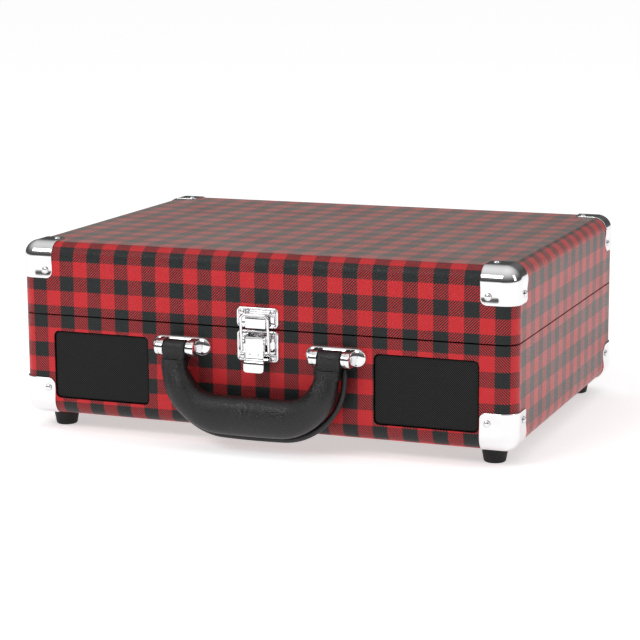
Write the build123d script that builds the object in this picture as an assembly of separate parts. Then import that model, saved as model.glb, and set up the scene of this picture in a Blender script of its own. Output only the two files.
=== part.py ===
"""Suitcase record player: a covered wooden case with a hinged lid, chrome
corners, a draw latch, a carrying handle, two front speakers and a belt-driven
turntable with its tonearm and controls on the deck.

Millimetres, +Z up.  The origin is on the ground, below the centre of the
object's outer box.  The front faces -Y.
"""
from build123d import *
from math import atan2, cos, degrees, hypot, radians, sin, tan
import os

# ---- case ----------------------------------------------------------------
CASE_W = 355.0          # over the covering, left to right
CASE_D = 262.0          # over the covering, front to back
BASE_H = 70.2           # base box, without the feet
LID_H = 49.3            # lid box
SEAM_GAP = 1.0          # between base rim and lid rim when closed
EDGE_R = 10.0           # every outer edge of the case
INNER_R = 3.0           # upright corners of the cavities
COVER_T = 0.7           # leatherette covering
WALL = 7.0              # board of the side walls
FLOOR_T = 5.0           # board of the bottom and of the lid's top
LINING_T = 1.0          # velour lining of the lid
LINING_GAP = 0.2        # glue line behind the lining
FOOT_H = 11.5           # height of a foot, and of the case above the ground

# ---- feet ------------------------------------------------------------------
FOOT_TOP_R = 9.5
FOOT_TIP_R = 7.5
FOOT_TIP_ROUND = 1.5
FOOT_INSET_X = 20.0
FOOT_INSET_Y = 23.0
FOOT_SCREW_R = 1.5
FOOT_SCREW_HEAD_R = 3.0
FOOT_SCREW_HEAD_H = 1.8
FOOT_RECESS_R = 3.3
FOOT_RECESS_H = 5.0
FOOT_SCREW_BITE = 4.0   # into the bottom board

# ---- chrome corners and rivets ---------------------------------------------
CORNER_T = 0.9
CORNER_REACH = 24.0     # from the side and front faces
LID_CORNER_DROP = 24.5  # from the top down
BASE_CORNER_RISE = 26.0  # from the bottom up
CORNER_WRAP = 9.5       # round the edge that the flap doesn't cover
CORNER_ROUND = 4.5
RIVET_INSET = 18.8
RIVET_HEAD_R = 2.4
RIVET_HEAD_H = 0.9
RIVET_SHANK_R = 1.2
RIVET_BITE = 5.0

# ---- grilles and speakers ---------------------------------------------------
GRILLE_W = 71.0
GRILLE_H = 46.6
GRILLE_T = 2.0
GRILLE_R = 3.5
GRILLE_X = 117.3        # centre, either side
GRILLE_DROP = 34.4      # centre below the base rim
GRILLE_SINK = 0.8       # face behind the covering
GRILLE_GAP = 0.5        # dark line round the grille
SPEAKER_R = 24.5
SPEAKER_PORT_R = 21.0
SPEAKER_FLANGE_T = 2.0
SPEAKER_BASKET_D = 14.0
SPEAKER_MAGNET_R = 16.0
SPEAKER_MAGNET_T = 11.0
SPEAKER_CONE_D = 9.0
SPEAKER_CAP_R = 6.0
LEAD_R = 0.9

# ---- handle ------------------------------------------------------------------
HANDLE_X = 55.5         # mount centre, either side
HANDLE_DROP = 14.2      # pivot below the base rim
HANDLE_OUT = 10.0       # pivot in front of the case
MOUNT_L = 43.0
MOUNT_H = 13.0
MOUNT_T = 2.6
EAR_OFFSET = 11.2       # ear centre from the mount centre
EAR_T = 6.0
EAR_R = 5.6
PIN_R = 2.0
PIN_CLEAR = 0.08
LOOP_R = 6.0
LOOP_NECK_T = 5.0       # strap from the arm up to the loop
LOOP_NECK_INSET = 1.5   # narrower than the loop on each side
LOOP_GAP = 0.35         # between loop and ear
GRIP_OUT = 15.0         # grip's middle in front of the case
GRIP_W = 127.0
GRIP_DEPTH = 20.0
GRIP_ARM_W = 18.0
GRIP_BAR_H = 25.0
GRIP_BOTTOM = 53.7      # below the pivot
GRIP_ARM_TOP = 6.5      # below the pivot
GRIP_OUTER_R = 42.0
GRIP_INNER_R = 20.0
GRIP_TOP_R = 7.5        # corners of the arms' tops
GRIP_ROUND = 6.0        # edges of the grip

# ---- latch -----------------------------------------------------------------
LATCH_W = 30.0
LATCH_T = 1.2
LATCH_R = 3.0
LATCH_LOW = 21.7        # lower plate's bottom below the base rim
KEEPER_H = 14.0
LATCH_SEAM_GAP = 0.3    # plate edge to rim
LEVER_W = 13.0
LEVER_OUT = 5.0         # lever pivot in front of the case
LEVER_PIVOT = 6.2       # below the base rim, as all of the lever's heights
LEVER_FACE = 6.2        # back of the lever's face plate
LEVER_T = 1.2
LEVER_TOP = 4.2
LEVER_BOTTOM = 19.7
LEVER_FLANGE_BACK = 3.5
LEVER_FLANGE = 17.2
TONGUE_W = 14.8
TONGUE_LOW = 27.7
TONGUE_STEP = 1.4
EAR_PLATE_GAP = 0.4
EAR_PLATE_T = 1.2
LEVER_PIN_R = 1.0
LEVER_PIN_CLEAR = 0.05
BAIL_WIRE_R = 1.0
BAIL_X = 9.7
BAIL_PIVOT = 14.7       # below the base rim
BAIL_PIVOT_OUT = 5.0
BAIL_LEAN = 1.9         # bar stands this much further out than the pivot
BAIL_TOP = 11.0         # above the base rim
BAIL_BEND_R = 3.0
KEEPER_TAB_W = 14.8
KEEPER_TAB_OUT = 5.2
KEEPER_TAB_TOP = 9.8    # above the base rim

# ---- hinges ----------------------------------------------------------------
HINGE_X = 110.0
HINGE_W = 36.0
HINGE_OUT = 3.2         # axis behind the back face
KNUCKLE_R = 3.0
LEAF_T = 1.0
LEAF_H = 18.0
KNUCKLE_GAP = 0.4
HINGE_PIN_R = 1.3
HINGE_PIN_CLEAR = 0.06
HINGE_RIVET_X = 11.0
HINGE_RIVET_Z = 12.0

# ---- lid stay ----------------------------------------------------------------
STAY_BASE_F = 70.0      # base pivot in front of the hinge axis
STAY_BASE_U = 5.0       # base pivot above the hinge axis
STAY_LID_F = 60.0
STAY_LID_U = 25.0
STAY_LINK_W = 9.0
STAY_LINK_T = 1.5
STAY_GAP = 0.3
STAY_PIN_R = 2.0
STAY_PIN_CLEAR = 0.08
STAY_OPEN_CLEAR = 0.4   # round the lid bracket's pin, the opened pivot
STAY_BRACKET_W = 12.0
STAY_STRIP_L = 34.0
STAY_STRIP_H = 5.6

# ---- deck ------------------------------------------------------------------
DECK_DROP = 7.0         # deck's top below the base rim
DECK_T = 2.5
DECK_GAP = 0.4
BLOCK_W = 16.0          # glued blocks that carry the deck
SCREW_R = 1.5
SCREW_HEAD_R = 3.2
SCREW_HEAD_H = 1.8
SCREW_HOLE_R = 1.8
SCREW_BITE = 10.0

# ---- platter and drive -------------------------------------------------------
SPINDLE_X = -52.0
SPINDLE_Y = -19.0       # from the case centre
SPINDLE_R = 3.55
JOURNAL_R = 3.0         # the spindle below the mat, in the platter and the bush
SPINDLE_RELIEF = 0.2    # from the mat up to the full radius
SPINDLE_TIP = 10.0      # above the slipmat
SPINDLE_DOWN = 14.0     # below the deck's top
BUSH_CLEAR = 0.05
BUSH_R = 6.0
BUSH_FLANGE_R = 9.0
BUSH_FLANGE_H = 1.0
PLATTER_R = 95.0
PLATTER_TOP = 12.0      # above the deck
PLATTER_T = 3.0
SKIRT_T = 3.0
SKIRT_CLEAR = 2.0       # above the deck
RING_R = 75.0
RING_T = 3.0
HUB_R = 12.0
HUB_CLEAR = 0.4
MAT_R = 93.0
MAT_T = 1.5
PULLEY_R = 4.5
PULLEY_H = 6.0
PULLEY_FLANGE = 1.0
PULLEY_SPACE = 6.0      # between the ring and the pulley
PULLEY_ANGLE = 135.0
SHAFT_R = 1.0
SHAFT_CLEAR = 0.05
SHAFT_DEPTH = 12.0
MOTOR_R = 15.0
MOTOR_H = 20.0
MOTOR_HOLE_R = 7.0
BELT_T = 0.8
BELT_H = 4.0
BELT_GAP = 0.3

# ---- tonearm -----------------------------------------------------------------
ARM_INSET_X = 61.8      # yaw axis from the right wall of the cavity
ARM_INSET_Y = 31.3      # from the back wall
ARM_HEIGHT = 30.0       # tube's middle above the deck
ARM_BASE_R = 22.0
ARM_BASE_H = 13.0
ARM_POST_R = 5.0
ARM_POST_CLEAR = 0.08
GIMBAL_R = 15.0
GIMBAL_GAP = 0.5
GIMBAL_FLOOR = 3.0
GIMBAL_TOP = 38.0       # above the deck
GIMBAL_SLOT = 11.0
ARM_TUBE_R = 4.0
ARM_YOKE_R = 5.2
ARM_PIN_R = 1.5
ARM_PIN_CLEAR = 0.06
ARM_TUBE_L = 176.0      # pivot to headshell
ARM_TAIL_L = 17.0
STYLUS_REACH = 200.0    # pivot to stylus
HEADSHELL_W = 17.0
HEADSHELL_L = 34.0
HEADSHELL_T = 3.0
HEADSHELL_ROUND = 4.0
LIFT_TAB_L = 12.0
CARTRIDGE_W = 13.0
CARTRIDGE_L = 18.0
CARTRIDGE_H = 8.5
STYLUS_W = 6.0
STYLUS_L = 10.0
STYLUS_CLEAR = 1.5      # tip above the slipmat
WEIGHT_R = 9.0
WEIGHT_L = 14.0
REST_Y = -28.0
REST_R = 7.0
REST_SHELF_GAP = 0.5
REST_WALL_T = 3.0
REST_W = 9.0
CLIP_T = 2.0
CLIP_L = 13.0
CUE_R = 40.0            # lift bar's distance from the arm's post
CUE_SWEEP = 42.0        # degrees of arc
CUE_BAR_W = 4.0
CUE_BAR_T = 2.5
CUE_BAR_GAP = 0.5
CUE_POST_R = 2.0
CUE_POST_CLEAR = 0.1
CUE_LEVER_L = 32.0
CUE_LEVER_R = 1.6
CUE_KNOB_R = 3.2
CUE_BLOCK_X = 31.0
CUE_BLOCK_Z = 13.0

# ---- controls ----------------------------------------------------------------
KNOB_R = 9.5
KNOB_H = 11.0
KNOB_GAP = 0.8
KNOB_SHAFT_R = 3.0
KNOB_SHAFT_CLEAR = 0.1
KNOB_INSET_Y = 41.3     # from the front wall of the cavity
MODE_INSET_X = 29.8     # from the right wall
KNOB_PITCH = 56.0
POT_R = 8.0
POT_H = 9.5
SWITCH_INSET_X = 23.8   # from the right wall
SPEED_AHEAD = 38.0      # behind the knobs
STOP_AHEAD = 70.0
SWITCH_TRAVEL = 10.0
STOP_TRAVEL = 6.0
SWITCH_W = 8.0
SWITCH_L = 6.0
SWITCH_H = 6.0
SWITCH_STEM = 3.0
SWITCH_SLOT_CLEAR = 0.3
LED_R = 1.5
LED_INSET_Y = 11.3      # from the front wall
JACK_INSET_Y = 17.3
JACK_INSET_X = (36.8, 21.8)
JACK_BORE_R = 1.8
JACK_NUT_R = 4.2
JACK_NUT_H = 1.8
JACK_BODY_R = 3.6
JACK_BODY_H = 15.0
ADAPTER_INSET_X = 29.8  # from the left wall
ADAPTER_INSET_Y = 25.3  # from the front wall
ADAPTER_R = 19.0
ADAPTER_H = 4.5
ADAPTER_BORE_R = 3.7
ADAPTER_GAP = 0.4
ADAPTER_WALL = 1.6
ADAPTER_WALL_H = 2.5
BOARD_W = 96.0
BOARD_D = 42.0
BOARD_T = 1.6

# ---- rear connections --------------------------------------------------------
PANEL_X = 20.0
PANEL_Z = 30.0          # centre above the case bottom
PANEL_W = 92.0
PANEL_H = 30.0
PANEL_T = 2.0
PANEL_SINK = 4.0        # panel face behind the covering
PANEL_LIP = 6.0
RCA_X = (-24.0, -6.0)
RCA_R = 4.15
RCA_FLANGE_R = 6.0
RCA_FLANGE_H = 1.5
RCA_BARREL = 7.5
RCA_BORE_R = 1.65
RCA_TAIL_R = 3.5
RCA_TAIL = 9.0
DC_X = 24.0
DC_R = 5.0
DC_BORE_R = 2.8
DC_PIN_R = 1.0
DC_DEPTH = 9.0
DC_PROUD = 1.0

# ---- levels and places worked out from the sizes ------------------------------
FRONT_REACH = GRIP_OUT + GRIP_DEPTH / 2
BACK_REACH = HINGE_OUT + KNUCKLE_R
BODY_Y = (FRONT_REACH - BACK_REACH) / 2
FRONT = BODY_Y - CASE_D / 2
BACK = BODY_Y + CASE_D / 2
HALF_W = CASE_W / 2
BASE_Z = FOOT_H
SEAM_Z = BASE_Z + BASE_H
HANDLE_Z = SEAM_Z - HANDLE_DROP
LID_Z = SEAM_Z + SEAM_GAP
TOP_Z = LID_Z + LID_H
DECK_Z = SEAM_Z - DECK_DROP
DECK_UNDER = DECK_Z - DECK_T
SKIN = COVER_T + WALL
CAVITY_W = CASE_W - 2 * SKIN
CAVITY_D = CASE_D - 2 * SKIN
RIGHT_WALL = CAVITY_W / 2
FRONT_WALL = -CAVITY_D / 2
ARM_X = RIGHT_WALL - ARM_INSET_X
ARM_Y = -FRONT_WALL - ARM_INSET_Y
MODE_X = RIGHT_WALL - MODE_INSET_X
VOLUME_X = MODE_X - KNOB_PITCH
KNOB_Y = FRONT_WALL + KNOB_INSET_Y
SWITCH_X = RIGHT_WALL - SWITCH_INSET_X
SPEED_Y = KNOB_Y + SPEED_AHEAD
STOP_Y = KNOB_Y + STOP_AHEAD
LED_X = (VOLUME_X + MODE_X) / 2
LED_Y = FRONT_WALL + LED_INSET_Y
JACK_X = tuple(RIGHT_WALL - inset for inset in JACK_INSET_X)
JACK_Y = FRONT_WALL + JACK_INSET_Y
ADAPTER_X = -RIGHT_WALL + ADAPTER_INSET_X
ADAPTER_Y = FRONT_WALL + ADAPTER_INSET_Y
FLOOR_Z = BASE_Z + COVER_T + FLOOR_T
CEILING_Z = TOP_Z - COVER_T - FLOOR_T
HINGE_Y = BACK + HINGE_OUT
HINGE_Z = SEAM_Z + SEAM_GAP / 2
MAT_TOP = DECK_Z + PLATTER_TOP + MAT_T
ARM_Z = DECK_Z + ARM_HEIGHT
SPINDLE = (SPINDLE_X, BODY_Y + SPINDLE_Y)
PULLEY_REACH = RING_R + PULLEY_R + PULLEY_SPACE
PULLEY = (
    SPINDLE[0] + PULLEY_REACH * cos(radians(PULLEY_ANGLE)),
    SPINDLE[1] + PULLEY_REACH * sin(radians(PULLEY_ANGLE)),
)
BELT_Z = DECK_Z + PLATTER_TOP - PLATTER_T - PULLEY_H / 2
ARM = (ARM_X, BODY_Y + ARM_Y)
SIDES = (-1, 1)


# ---- small makers ---------------------------------------------------------------
def block(x0, x1, y0, y1, z0, z1):
    """Box between two corners."""
    centre = ((x0 + x1) / 2, (y0 + y1) / 2, (z0 + z1) / 2)
    return Pos(*centre) * Box(x1 - x0, y1 - y0, z1 - z0)


def post(x, y, z0, z1, radius):
    """Upright cylinder."""
    return Pos(x, y, (z0 + z1) / 2) * Cylinder(radius, z1 - z0)


def rod_x(x0, x1, y, z, radius):
    """Cylinder along X."""
    return Pos((x0 + x1) / 2, y, z) * Rot(0, 90, 0) * Cylinder(radius, abs(x1 - x0))


def rod_y(x, y0, y1, z, radius):
    """Cylinder along Y."""
    return Pos(x, (y0 + y1) / 2, z) * Rot(90, 0, 0) * Cylinder(radius, abs(y1 - y0))


def rounded_block(x0, x1, y0, y1, z0, z1, radius, axis):
    """Box with its four edges along one axis rounded."""
    solid = block(x0, x1, y0, y1, z0, z1)
    return fillet(solid.edges().filter_by(axis), radius)


def case_block(grow, z0, z1, round_face):
    """Case outline grown by an amount; round_face is -1 for a rounded bottom, 1 for a rounded top."""
    solid = block(-HALF_W - grow, HALF_W + grow, FRONT - grow, BACK + grow, z0, z1)
    cap = solid.faces().sort_by(Axis.Z)[-1 if round_face > 0 else 0]
    edges = solid.edges().filter_by(Axis.Z) + cap.edges()
    return fillet(edges, EDGE_R + grow)


def cavity_block(shrink, z0, z1):
    """Inside of the base or the lid."""
    half_w = CAVITY_W / 2 - shrink
    half_d = CAVITY_D / 2 - shrink
    return rounded_block(-half_w, half_w, BODY_Y - half_d, BODY_Y + half_d, z0, z1, INNER_R, Axis.Z)


def rivet(x, y, z, direction):
    """Rivet whose head stands on a face at x, y, z; direction is the face's outward normal."""
    head = Pos(0, 0, RIVET_HEAD_H / 2) * Cylinder(RIVET_HEAD_R, RIVET_HEAD_H)
    head = fillet(head.edges().sort_by(Axis.Z)[-1], RIVET_HEAD_H * 0.7)
    shank = Pos(0, 0, -RIVET_BITE / 2) * Cylinder(RIVET_SHANK_R, RIVET_BITE)
    plane = Plane(origin=(x, y, z), z_dir=direction)
    return plane * (head + shank)


def screw(x, y, z, head_r, head_h, shank_r, bite):
    """Pan-head screw pointing down, its head's underside at z."""
    return post(x, y, z, z + head_h, head_r) + post(x, y, z - bite, z, shank_r)


# ---- case -------------------------------------------------------------------------
def grille_window(side, grow, y0, y1):
    """Rounded opening in the front wall for one grille."""
    x = side * GRILLE_X
    z = SEAM_Z - GRILLE_DROP
    return rounded_block(
        x - GRILLE_W / 2 - grow, x + GRILLE_W / 2 + grow, y0, y1,
        z - GRILLE_H / 2 - grow, z + GRILLE_H / 2 + grow, GRILLE_R + grow, Axis.Y,
    )


def panel_window(grow, y0, y1):
    """Opening in the back wall for the connection panel."""
    z = BASE_Z + PANEL_Z
    return block(
        PANEL_X - PANEL_W / 2 - grow, PANEL_X + PANEL_W / 2 + grow, y0, y1,
        z - PANEL_H / 2 - grow, z + PANEL_H / 2 + grow,
    )


def block_places():
    """Centres of the glued blocks under the deck's corners."""
    reach_x = CAVITY_W / 2 - BLOCK_W / 2
    reach_y = CAVITY_D / 2 - BLOCK_W / 2
    return [(sx * reach_x, BODY_Y + sy * reach_y) for sx in SIDES for sy in SIDES]


def front_pocket_depth():
    """Depth from the front face to the back of the grille."""
    return GRILLE_SINK + GRILLE_T


def make_base_shell():
    """Wooden base box with the glued deck blocks."""
    wood = case_block(-COVER_T, BASE_Z + COVER_T, SEAM_Z - COVER_T, -1)
    wood -= cavity_block(0, FLOOR_Z, SEAM_Z)
    for x, y in block_places():
        wood += block(
            x - BLOCK_W / 2, x + BLOCK_W / 2, y - BLOCK_W / 2, y + BLOCK_W / 2, FLOOR_Z, DECK_UNDER,
        )
    for side in SIDES:
        wood -= grille_window(side, GRILLE_GAP, FRONT - 1, FRONT + front_pocket_depth())
        wood -= rod_y(side * GRILLE_X, FRONT, FRONT + SKIN + 1, SEAM_Z - GRILLE_DROP, SPEAKER_PORT_R)
    wood -= panel_window(0, BACK - PANEL_SINK - PANEL_T, BACK + 1)
    wood -= panel_window(-PANEL_LIP, BACK - SKIN - 1, BACK)
    return wood


def make_base_covering():
    """Leatherette over the base, folded over its rim."""
    skin = case_block(0, BASE_Z, SEAM_Z, -1)
    skin -= case_block(-COVER_T, BASE_Z + COVER_T, SEAM_Z - COVER_T, -1)
    skin -= cavity_block(0, FLOOR_Z, SEAM_Z + 1)
    for side in SIDES:
        skin -= grille_window(side, GRILLE_GAP, FRONT - 1, FRONT + SKIN)
    skin -= panel_window(0, BACK - SKIN, BACK + 1)
    return skin


def make_lid_shell():
    """Wooden lid box."""
    wood = case_block(-COVER_T, LID_Z + COVER_T, TOP_Z - COVER_T, 1)
    return wood - cavity_block(0, LID_Z, CEILING_Z)


def make_lid_covering():
    """Leatherette over the lid, folded over its rim."""
    skin = case_block(0, LID_Z, TOP_Z, 1)
    skin -= case_block(-COVER_T, LID_Z + COVER_T, TOP_Z - COVER_T, 1)
    return skin - cavity_block(0, LID_Z - 1, CEILING_Z)


def make_lid_lining():
    """Velour lining glued inside the lid."""
    low = LID_Z + COVER_T
    lining = cavity_block(LINING_GAP, low, CEILING_Z - LINING_GAP)
    inside = LINING_GAP + LINING_T
    return lining - cavity_block(inside, low - 1, CEILING_Z - inside)


def corner_region(side, end, reach_z, wrap_z, flap_top):
    """Space taken by one corner: a flap on each face, with its free corner rounded."""
    x_out = side * (HALF_W + 2 * CORNER_T)
    y_edge = FRONT if end < 0 else BACK
    y_out = y_edge + end * 2 * CORNER_T
    x_far = side * (HALF_W - CORNER_REACH)
    x_near = side * (HALF_W - CORNER_WRAP)
    y_far = y_edge - end * CORNER_REACH
    y_near = y_edge - end * CORNER_WRAP
    z_out = reach_z[1]
    z_far = reach_z[0]
    up = 1 if z_out > z_far else -1

    def flap(xa, xb, ya, yb, za, zb, axis):
        solid = block(min(xa, xb), max(xa, xb), min(ya, yb), max(ya, yb), min(za, zb), max(za, zb))
        edges = solid.edges().filter_by(axis)
        keep = {Axis.X: (None, ya, za), Axis.Y: (xa, None, za), Axis.Z: (xa, ya, None)}[axis]
        for index, place in enumerate(keep):
            if place is not None:
                edges = [e for e in edges if abs(tuple(e.center())[index] - place) < 0.01]
        return fillet(edges, CORNER_ROUND)

    region = flap(x_far, x_out, y_near, y_out, z_far, z_out, Axis.Y)
    region += flap(x_near, x_out, y_far, y_out, z_far, z_out, Axis.X)
    if flap_top:
        region += flap(x_far, x_out, y_far, y_out, z_out - up * wrap_z, z_out, Axis.Z)
    return region


def make_lid_corners():
    """Four pressed chrome corners of the lid."""
    plate = case_block(CORNER_T, TOP_Z - LID_H, TOP_Z + CORNER_T, 1)
    plate -= case_block(0, LID_Z - 1, TOP_Z, 1)
    z_out = TOP_Z + 2 * CORNER_T
    reach = (TOP_Z - LID_CORNER_DROP, z_out)
    wrap = CORNER_WRAP + 2 * CORNER_T
    return [plate & corner_region(sx, sy, reach, wrap, True) for sx in SIDES for sy in SIDES]


def make_base_corners():
    """Four pressed chrome corners of the base; they stop short of the feet."""
    plate = case_block(CORNER_T, BASE_Z - CORNER_T, BASE_Z + BASE_H, -1)
    plate -= case_block(0, BASE_Z, SEAM_Z + 1, -1)
    z_out = BASE_Z - 2 * CORNER_T
    reach = (BASE_Z + BASE_CORNER_RISE, z_out)
    return [plate & corner_region(sx, sy, reach, CORNER_WRAP, False) for sx in SIDES for sy in SIDES]


def corner_rivets(z, top_z):
    """Rivets of four corners: on the front or back flap, on the side flap and, with top_z, on the top."""
    found = []
    for sx in SIDES:
        for sy in SIDES:
            y_edge = FRONT if sy < 0 else BACK
            x_in = sx * (HALF_W - RIVET_INSET)
            y_in = y_edge - sy * RIVET_INSET
            found.append(rivet(x_in, y_edge + sy * CORNER_T, z, (0, sy, 0)))
            found.append(rivet(sx * (HALF_W + CORNER_T), y_in, z, (sx, 0, 0)))
            if top_z is not None:
                found.append(rivet(x_in, y_in, top_z, (0, 0, 1)))
    return found


def make_lid_rivets():
    """Rivets of the lid's corners, the keeper and the lid's hinge leaves."""
    found = corner_rivets(TOP_Z - RIVET_INSET, TOP_Z + CORNER_T)
    for side in SIDES:
        found.append(rivet(side * LATCH_W * 0.36, FRONT - LATCH_T, LID_Z + KEEPER_H * 0.62, (0, -1, 0)))
    found += hinge_rivets(HINGE_Z + HINGE_RIVET_Z)
    return found


def make_base_rivets():
    """Rivets of the base's corners, the latch plate and the base's hinge leaves."""
    found = corner_rivets(BASE_Z + RIVET_INSET, None)
    for side in SIDES:
        x = side * LATCH_W * 0.36
        found.append(rivet(x, FRONT - LATCH_T, SEAM_Z - LATCH_LOW + RIVET_HEAD_R + 0.8, (0, -1, 0)))
    found += hinge_rivets(HINGE_Z - HINGE_RIVET_Z)
    return found


def foot_places():
    """Centres of the four feet."""
    x = HALF_W - FOOT_INSET_X
    y = CASE_D / 2 - FOOT_INSET_Y
    return [(sx * x, BODY_Y + sy * y) for sx in SIDES for sy in SIDES]


def make_feet():
    """Tapered rubber feet with a recess for the screw."""
    found = []
    for x, y in foot_places():
        foot = Pos(x, y, FOOT_H / 2) * Cone(FOOT_TIP_R, FOOT_TOP_R, FOOT_H)
        foot = fillet(foot.edges().sort_by(Axis.Z)[0], FOOT_TIP_ROUND)
        foot -= post(x, y, -1, FOOT_RECESS_H, FOOT_RECESS_R)
        foot -= post(x, y, 0, FOOT_H, FOOT_SCREW_R)
        found.append(foot)
    return found


def make_foot_screws():
    """One screw up through each foot into the bottom board."""
    low = FOOT_RECESS_H - FOOT_SCREW_HEAD_H
    return [
        post(x, y, low, FOOT_RECESS_H, FOOT_SCREW_HEAD_R)
        + post(x, y, FOOT_RECESS_H, FOOT_H + FOOT_SCREW_BITE, FOOT_SCREW_R)
        for x, y in foot_places()
    ]


# ---- grilles and speakers -------------------------------------------------------
def make_grille(side):
    """Cloth-covered grille panel in its pocket."""
    return grille_window(side, 0, FRONT + GRILLE_SINK, FRONT + front_pocket_depth())


def make_speaker(side):
    """Small full-range driver: flange, basket, magnet and an open cone in front."""
    flange = SPEAKER_FLANGE_T
    back = SPEAKER_BASKET_D + SPEAKER_MAGNET_T
    profile = Polyline(
        (0, SPEAKER_CONE_D),
        (SPEAKER_CAP_R, SPEAKER_CONE_D),
        (SPEAKER_PORT_R, 0),
        (SPEAKER_R, 0),
        (SPEAKER_R, flange),
        (SPEAKER_PORT_R, flange),
        (SPEAKER_MAGNET_R, SPEAKER_BASKET_D),
        (SPEAKER_MAGNET_R, back),
        (0, back),
        close=True,
    )
    body = revolve(make_face(profile), Axis.Y)
    return Pos(side * GRILLE_X, FRONT + SKIN, SEAM_Z - GRILLE_DROP) * body


def lead_route(side):
    """Corner points of one speaker lead, from the magnet's back to the board's underside."""
    y_magnet = FRONT + SKIN + SPEAKER_BASKET_D + SPEAKER_MAGNET_T
    z_speaker = SEAM_Z - GRILLE_DROP
    z_board = DECK_UNDER - POT_H - BOARD_T
    y_board = BODY_Y + KNOB_Y + BOARD_D * 0.6
    x_board = board_x() + side * BOARD_W * 0.3
    low = FLOOR_Z + 4
    if side > 0:
        return [
            (GRILLE_X, y_magnet, z_speaker),
            (GRILLE_X, y_magnet + 14, z_speaker),
            (GRILLE_X + 6, y_magnet + 24, z_speaker - 12),
            (x_board, y_board + 6, z_board - 18),
            (x_board, y_board + 6, z_board),
        ]
    return [
        (-GRILLE_X, y_magnet, z_speaker),
        (-GRILLE_X, y_magnet + 16, z_speaker),
        (-GRILLE_X + 14, y_magnet + 22, low + 8),
        (-60.0, y_magnet + 17, low),
        (-20.0, y_magnet + 24, low + 1),
        (26.0, y_magnet + 18, low),
        (x_board - 14, y_board, low + 8),
        (x_board, y_board + 6, z_board - 12),
        (x_board, y_board + 6, z_board),
    ]


def lead_radii(points):
    """Bend radius at each inner point: 0.45 of the shorter run over the tangent of half the turn."""
    radii = []
    for before, here, after in zip(points, points[1:], points[2:]):
        run_in = Vector(*here) - Vector(*before)
        run_out = Vector(*after) - Vector(*here)
        turn = radians(run_in.get_angle(run_out))
        radii.append(0.45 * min(run_in.length, run_out.length) / tan(turn / 2))
    return radii


def make_speaker_leads():
    """Two insulated leads from the speakers to the board."""
    found = []
    for side in SIDES:
        points = lead_route(side)
        radii = lead_radii(points)
        print("speaker lead bend radii", [round(r, 1) for r in radii])
        path = FilletPolyline(*points, radius=radii)
        start = Plane(origin=path @ 0, z_dir=path % 0)
        found.append(sweep(start * Circle(LEAD_R), path=path))
    return found


# ---- handle ----------------------------------------------------------------------
def make_handle_mounts():
    """Chrome mounts: a round-ended plate with two ears each."""
    z = HANDLE_Z
    found = []
    for side in SIDES:
        x = side * HANDLE_X
        plate = rounded_block(
            x - MOUNT_L / 2, x + MOUNT_L / 2, FRONT - MOUNT_T, FRONT,
            z - MOUNT_H / 2, z + MOUNT_H / 2, MOUNT_H / 2 - 0.05, Axis.Y,
        )
        for ear in SIDES:
            x_ear = x + ear * EAR_OFFSET
            plate += rod_x(x_ear - EAR_T / 2, x_ear + EAR_T / 2, FRONT - HANDLE_OUT, z, EAR_R)
            plate += block(
                x_ear - EAR_T / 2, x_ear + EAR_T / 2, FRONT - HANDLE_OUT, FRONT, z - EAR_R, z + EAR_R,
            )
            plate -= rod_x(x_ear - EAR_T, x_ear + EAR_T, FRONT - HANDLE_OUT, z, PIN_R)
        found.append(plate)
    return found


def make_handle_pins():
    """Steel pin through each mount."""
    reach = EAR_OFFSET + EAR_T / 2
    y = FRONT - HANDLE_OUT
    z = HANDLE_Z
    return [rod_x(s * HANDLE_X - reach, s * HANDLE_X + reach, y, z, PIN_R) for s in SIDES]


def make_handle_grip():
    """Padded D-shaped grip, its arms ending in loops round the pins."""
    z_low = HANDLE_Z - GRIP_BOTTOM
    z_top = HANDLE_Z - GRIP_ARM_TOP
    y0 = FRONT - GRIP_OUT - GRIP_DEPTH / 2
    y1 = FRONT - GRIP_OUT + GRIP_DEPTH / 2
    half = GRIP_W / 2
    outer = block(-half, half, y0, y1, z_low, z_top)
    lower_edges = outer.edges().filter_by(Axis.Y).sort_by(Axis.Z)[:2]
    outer = fillet(lower_edges, GRIP_OUTER_R)
    half_in = half - GRIP_ARM_W
    inner = block(-half_in, half_in, y0 - 1, y1 + 1, z_low + GRIP_BAR_H, z_top + GRIP_BAR_H)
    inner = fillet(inner.edges().filter_by(Axis.Y).sort_by(Axis.Z)[:2], GRIP_INNER_R)
    grip = outer - inner
    arm_tops = [e for e in grip.edges().filter_by(Axis.Y) if abs(e.center().Z - z_top) < 0.01]
    grip = fillet(arm_tops, GRIP_TOP_R)
    faces = grip.faces().sort_by(Axis.Y)
    grip = fillet(faces[0].edges() + faces[-1].edges(), GRIP_ROUND)
    z_pin = HANDLE_Z
    y_pin = FRONT - HANDLE_OUT
    loop_half = EAR_OFFSET - EAR_T / 2 - LOOP_GAP
    neck_half = loop_half - LOOP_NECK_INSET
    for side in SIDES:
        x = side * HANDLE_X
        grip += rod_x(x - loop_half, x + loop_half, y_pin, z_pin, LOOP_R)
        grip += block(x - neck_half, x + neck_half, y_pin - LOOP_NECK_T, y_pin, z_top - GRIP_ROUND, z_pin)
        grip -= rod_x(x - loop_half - 1, x + loop_half + 1, y_pin, z_pin, PIN_R + PIN_CLEAR)
    return grip


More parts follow.
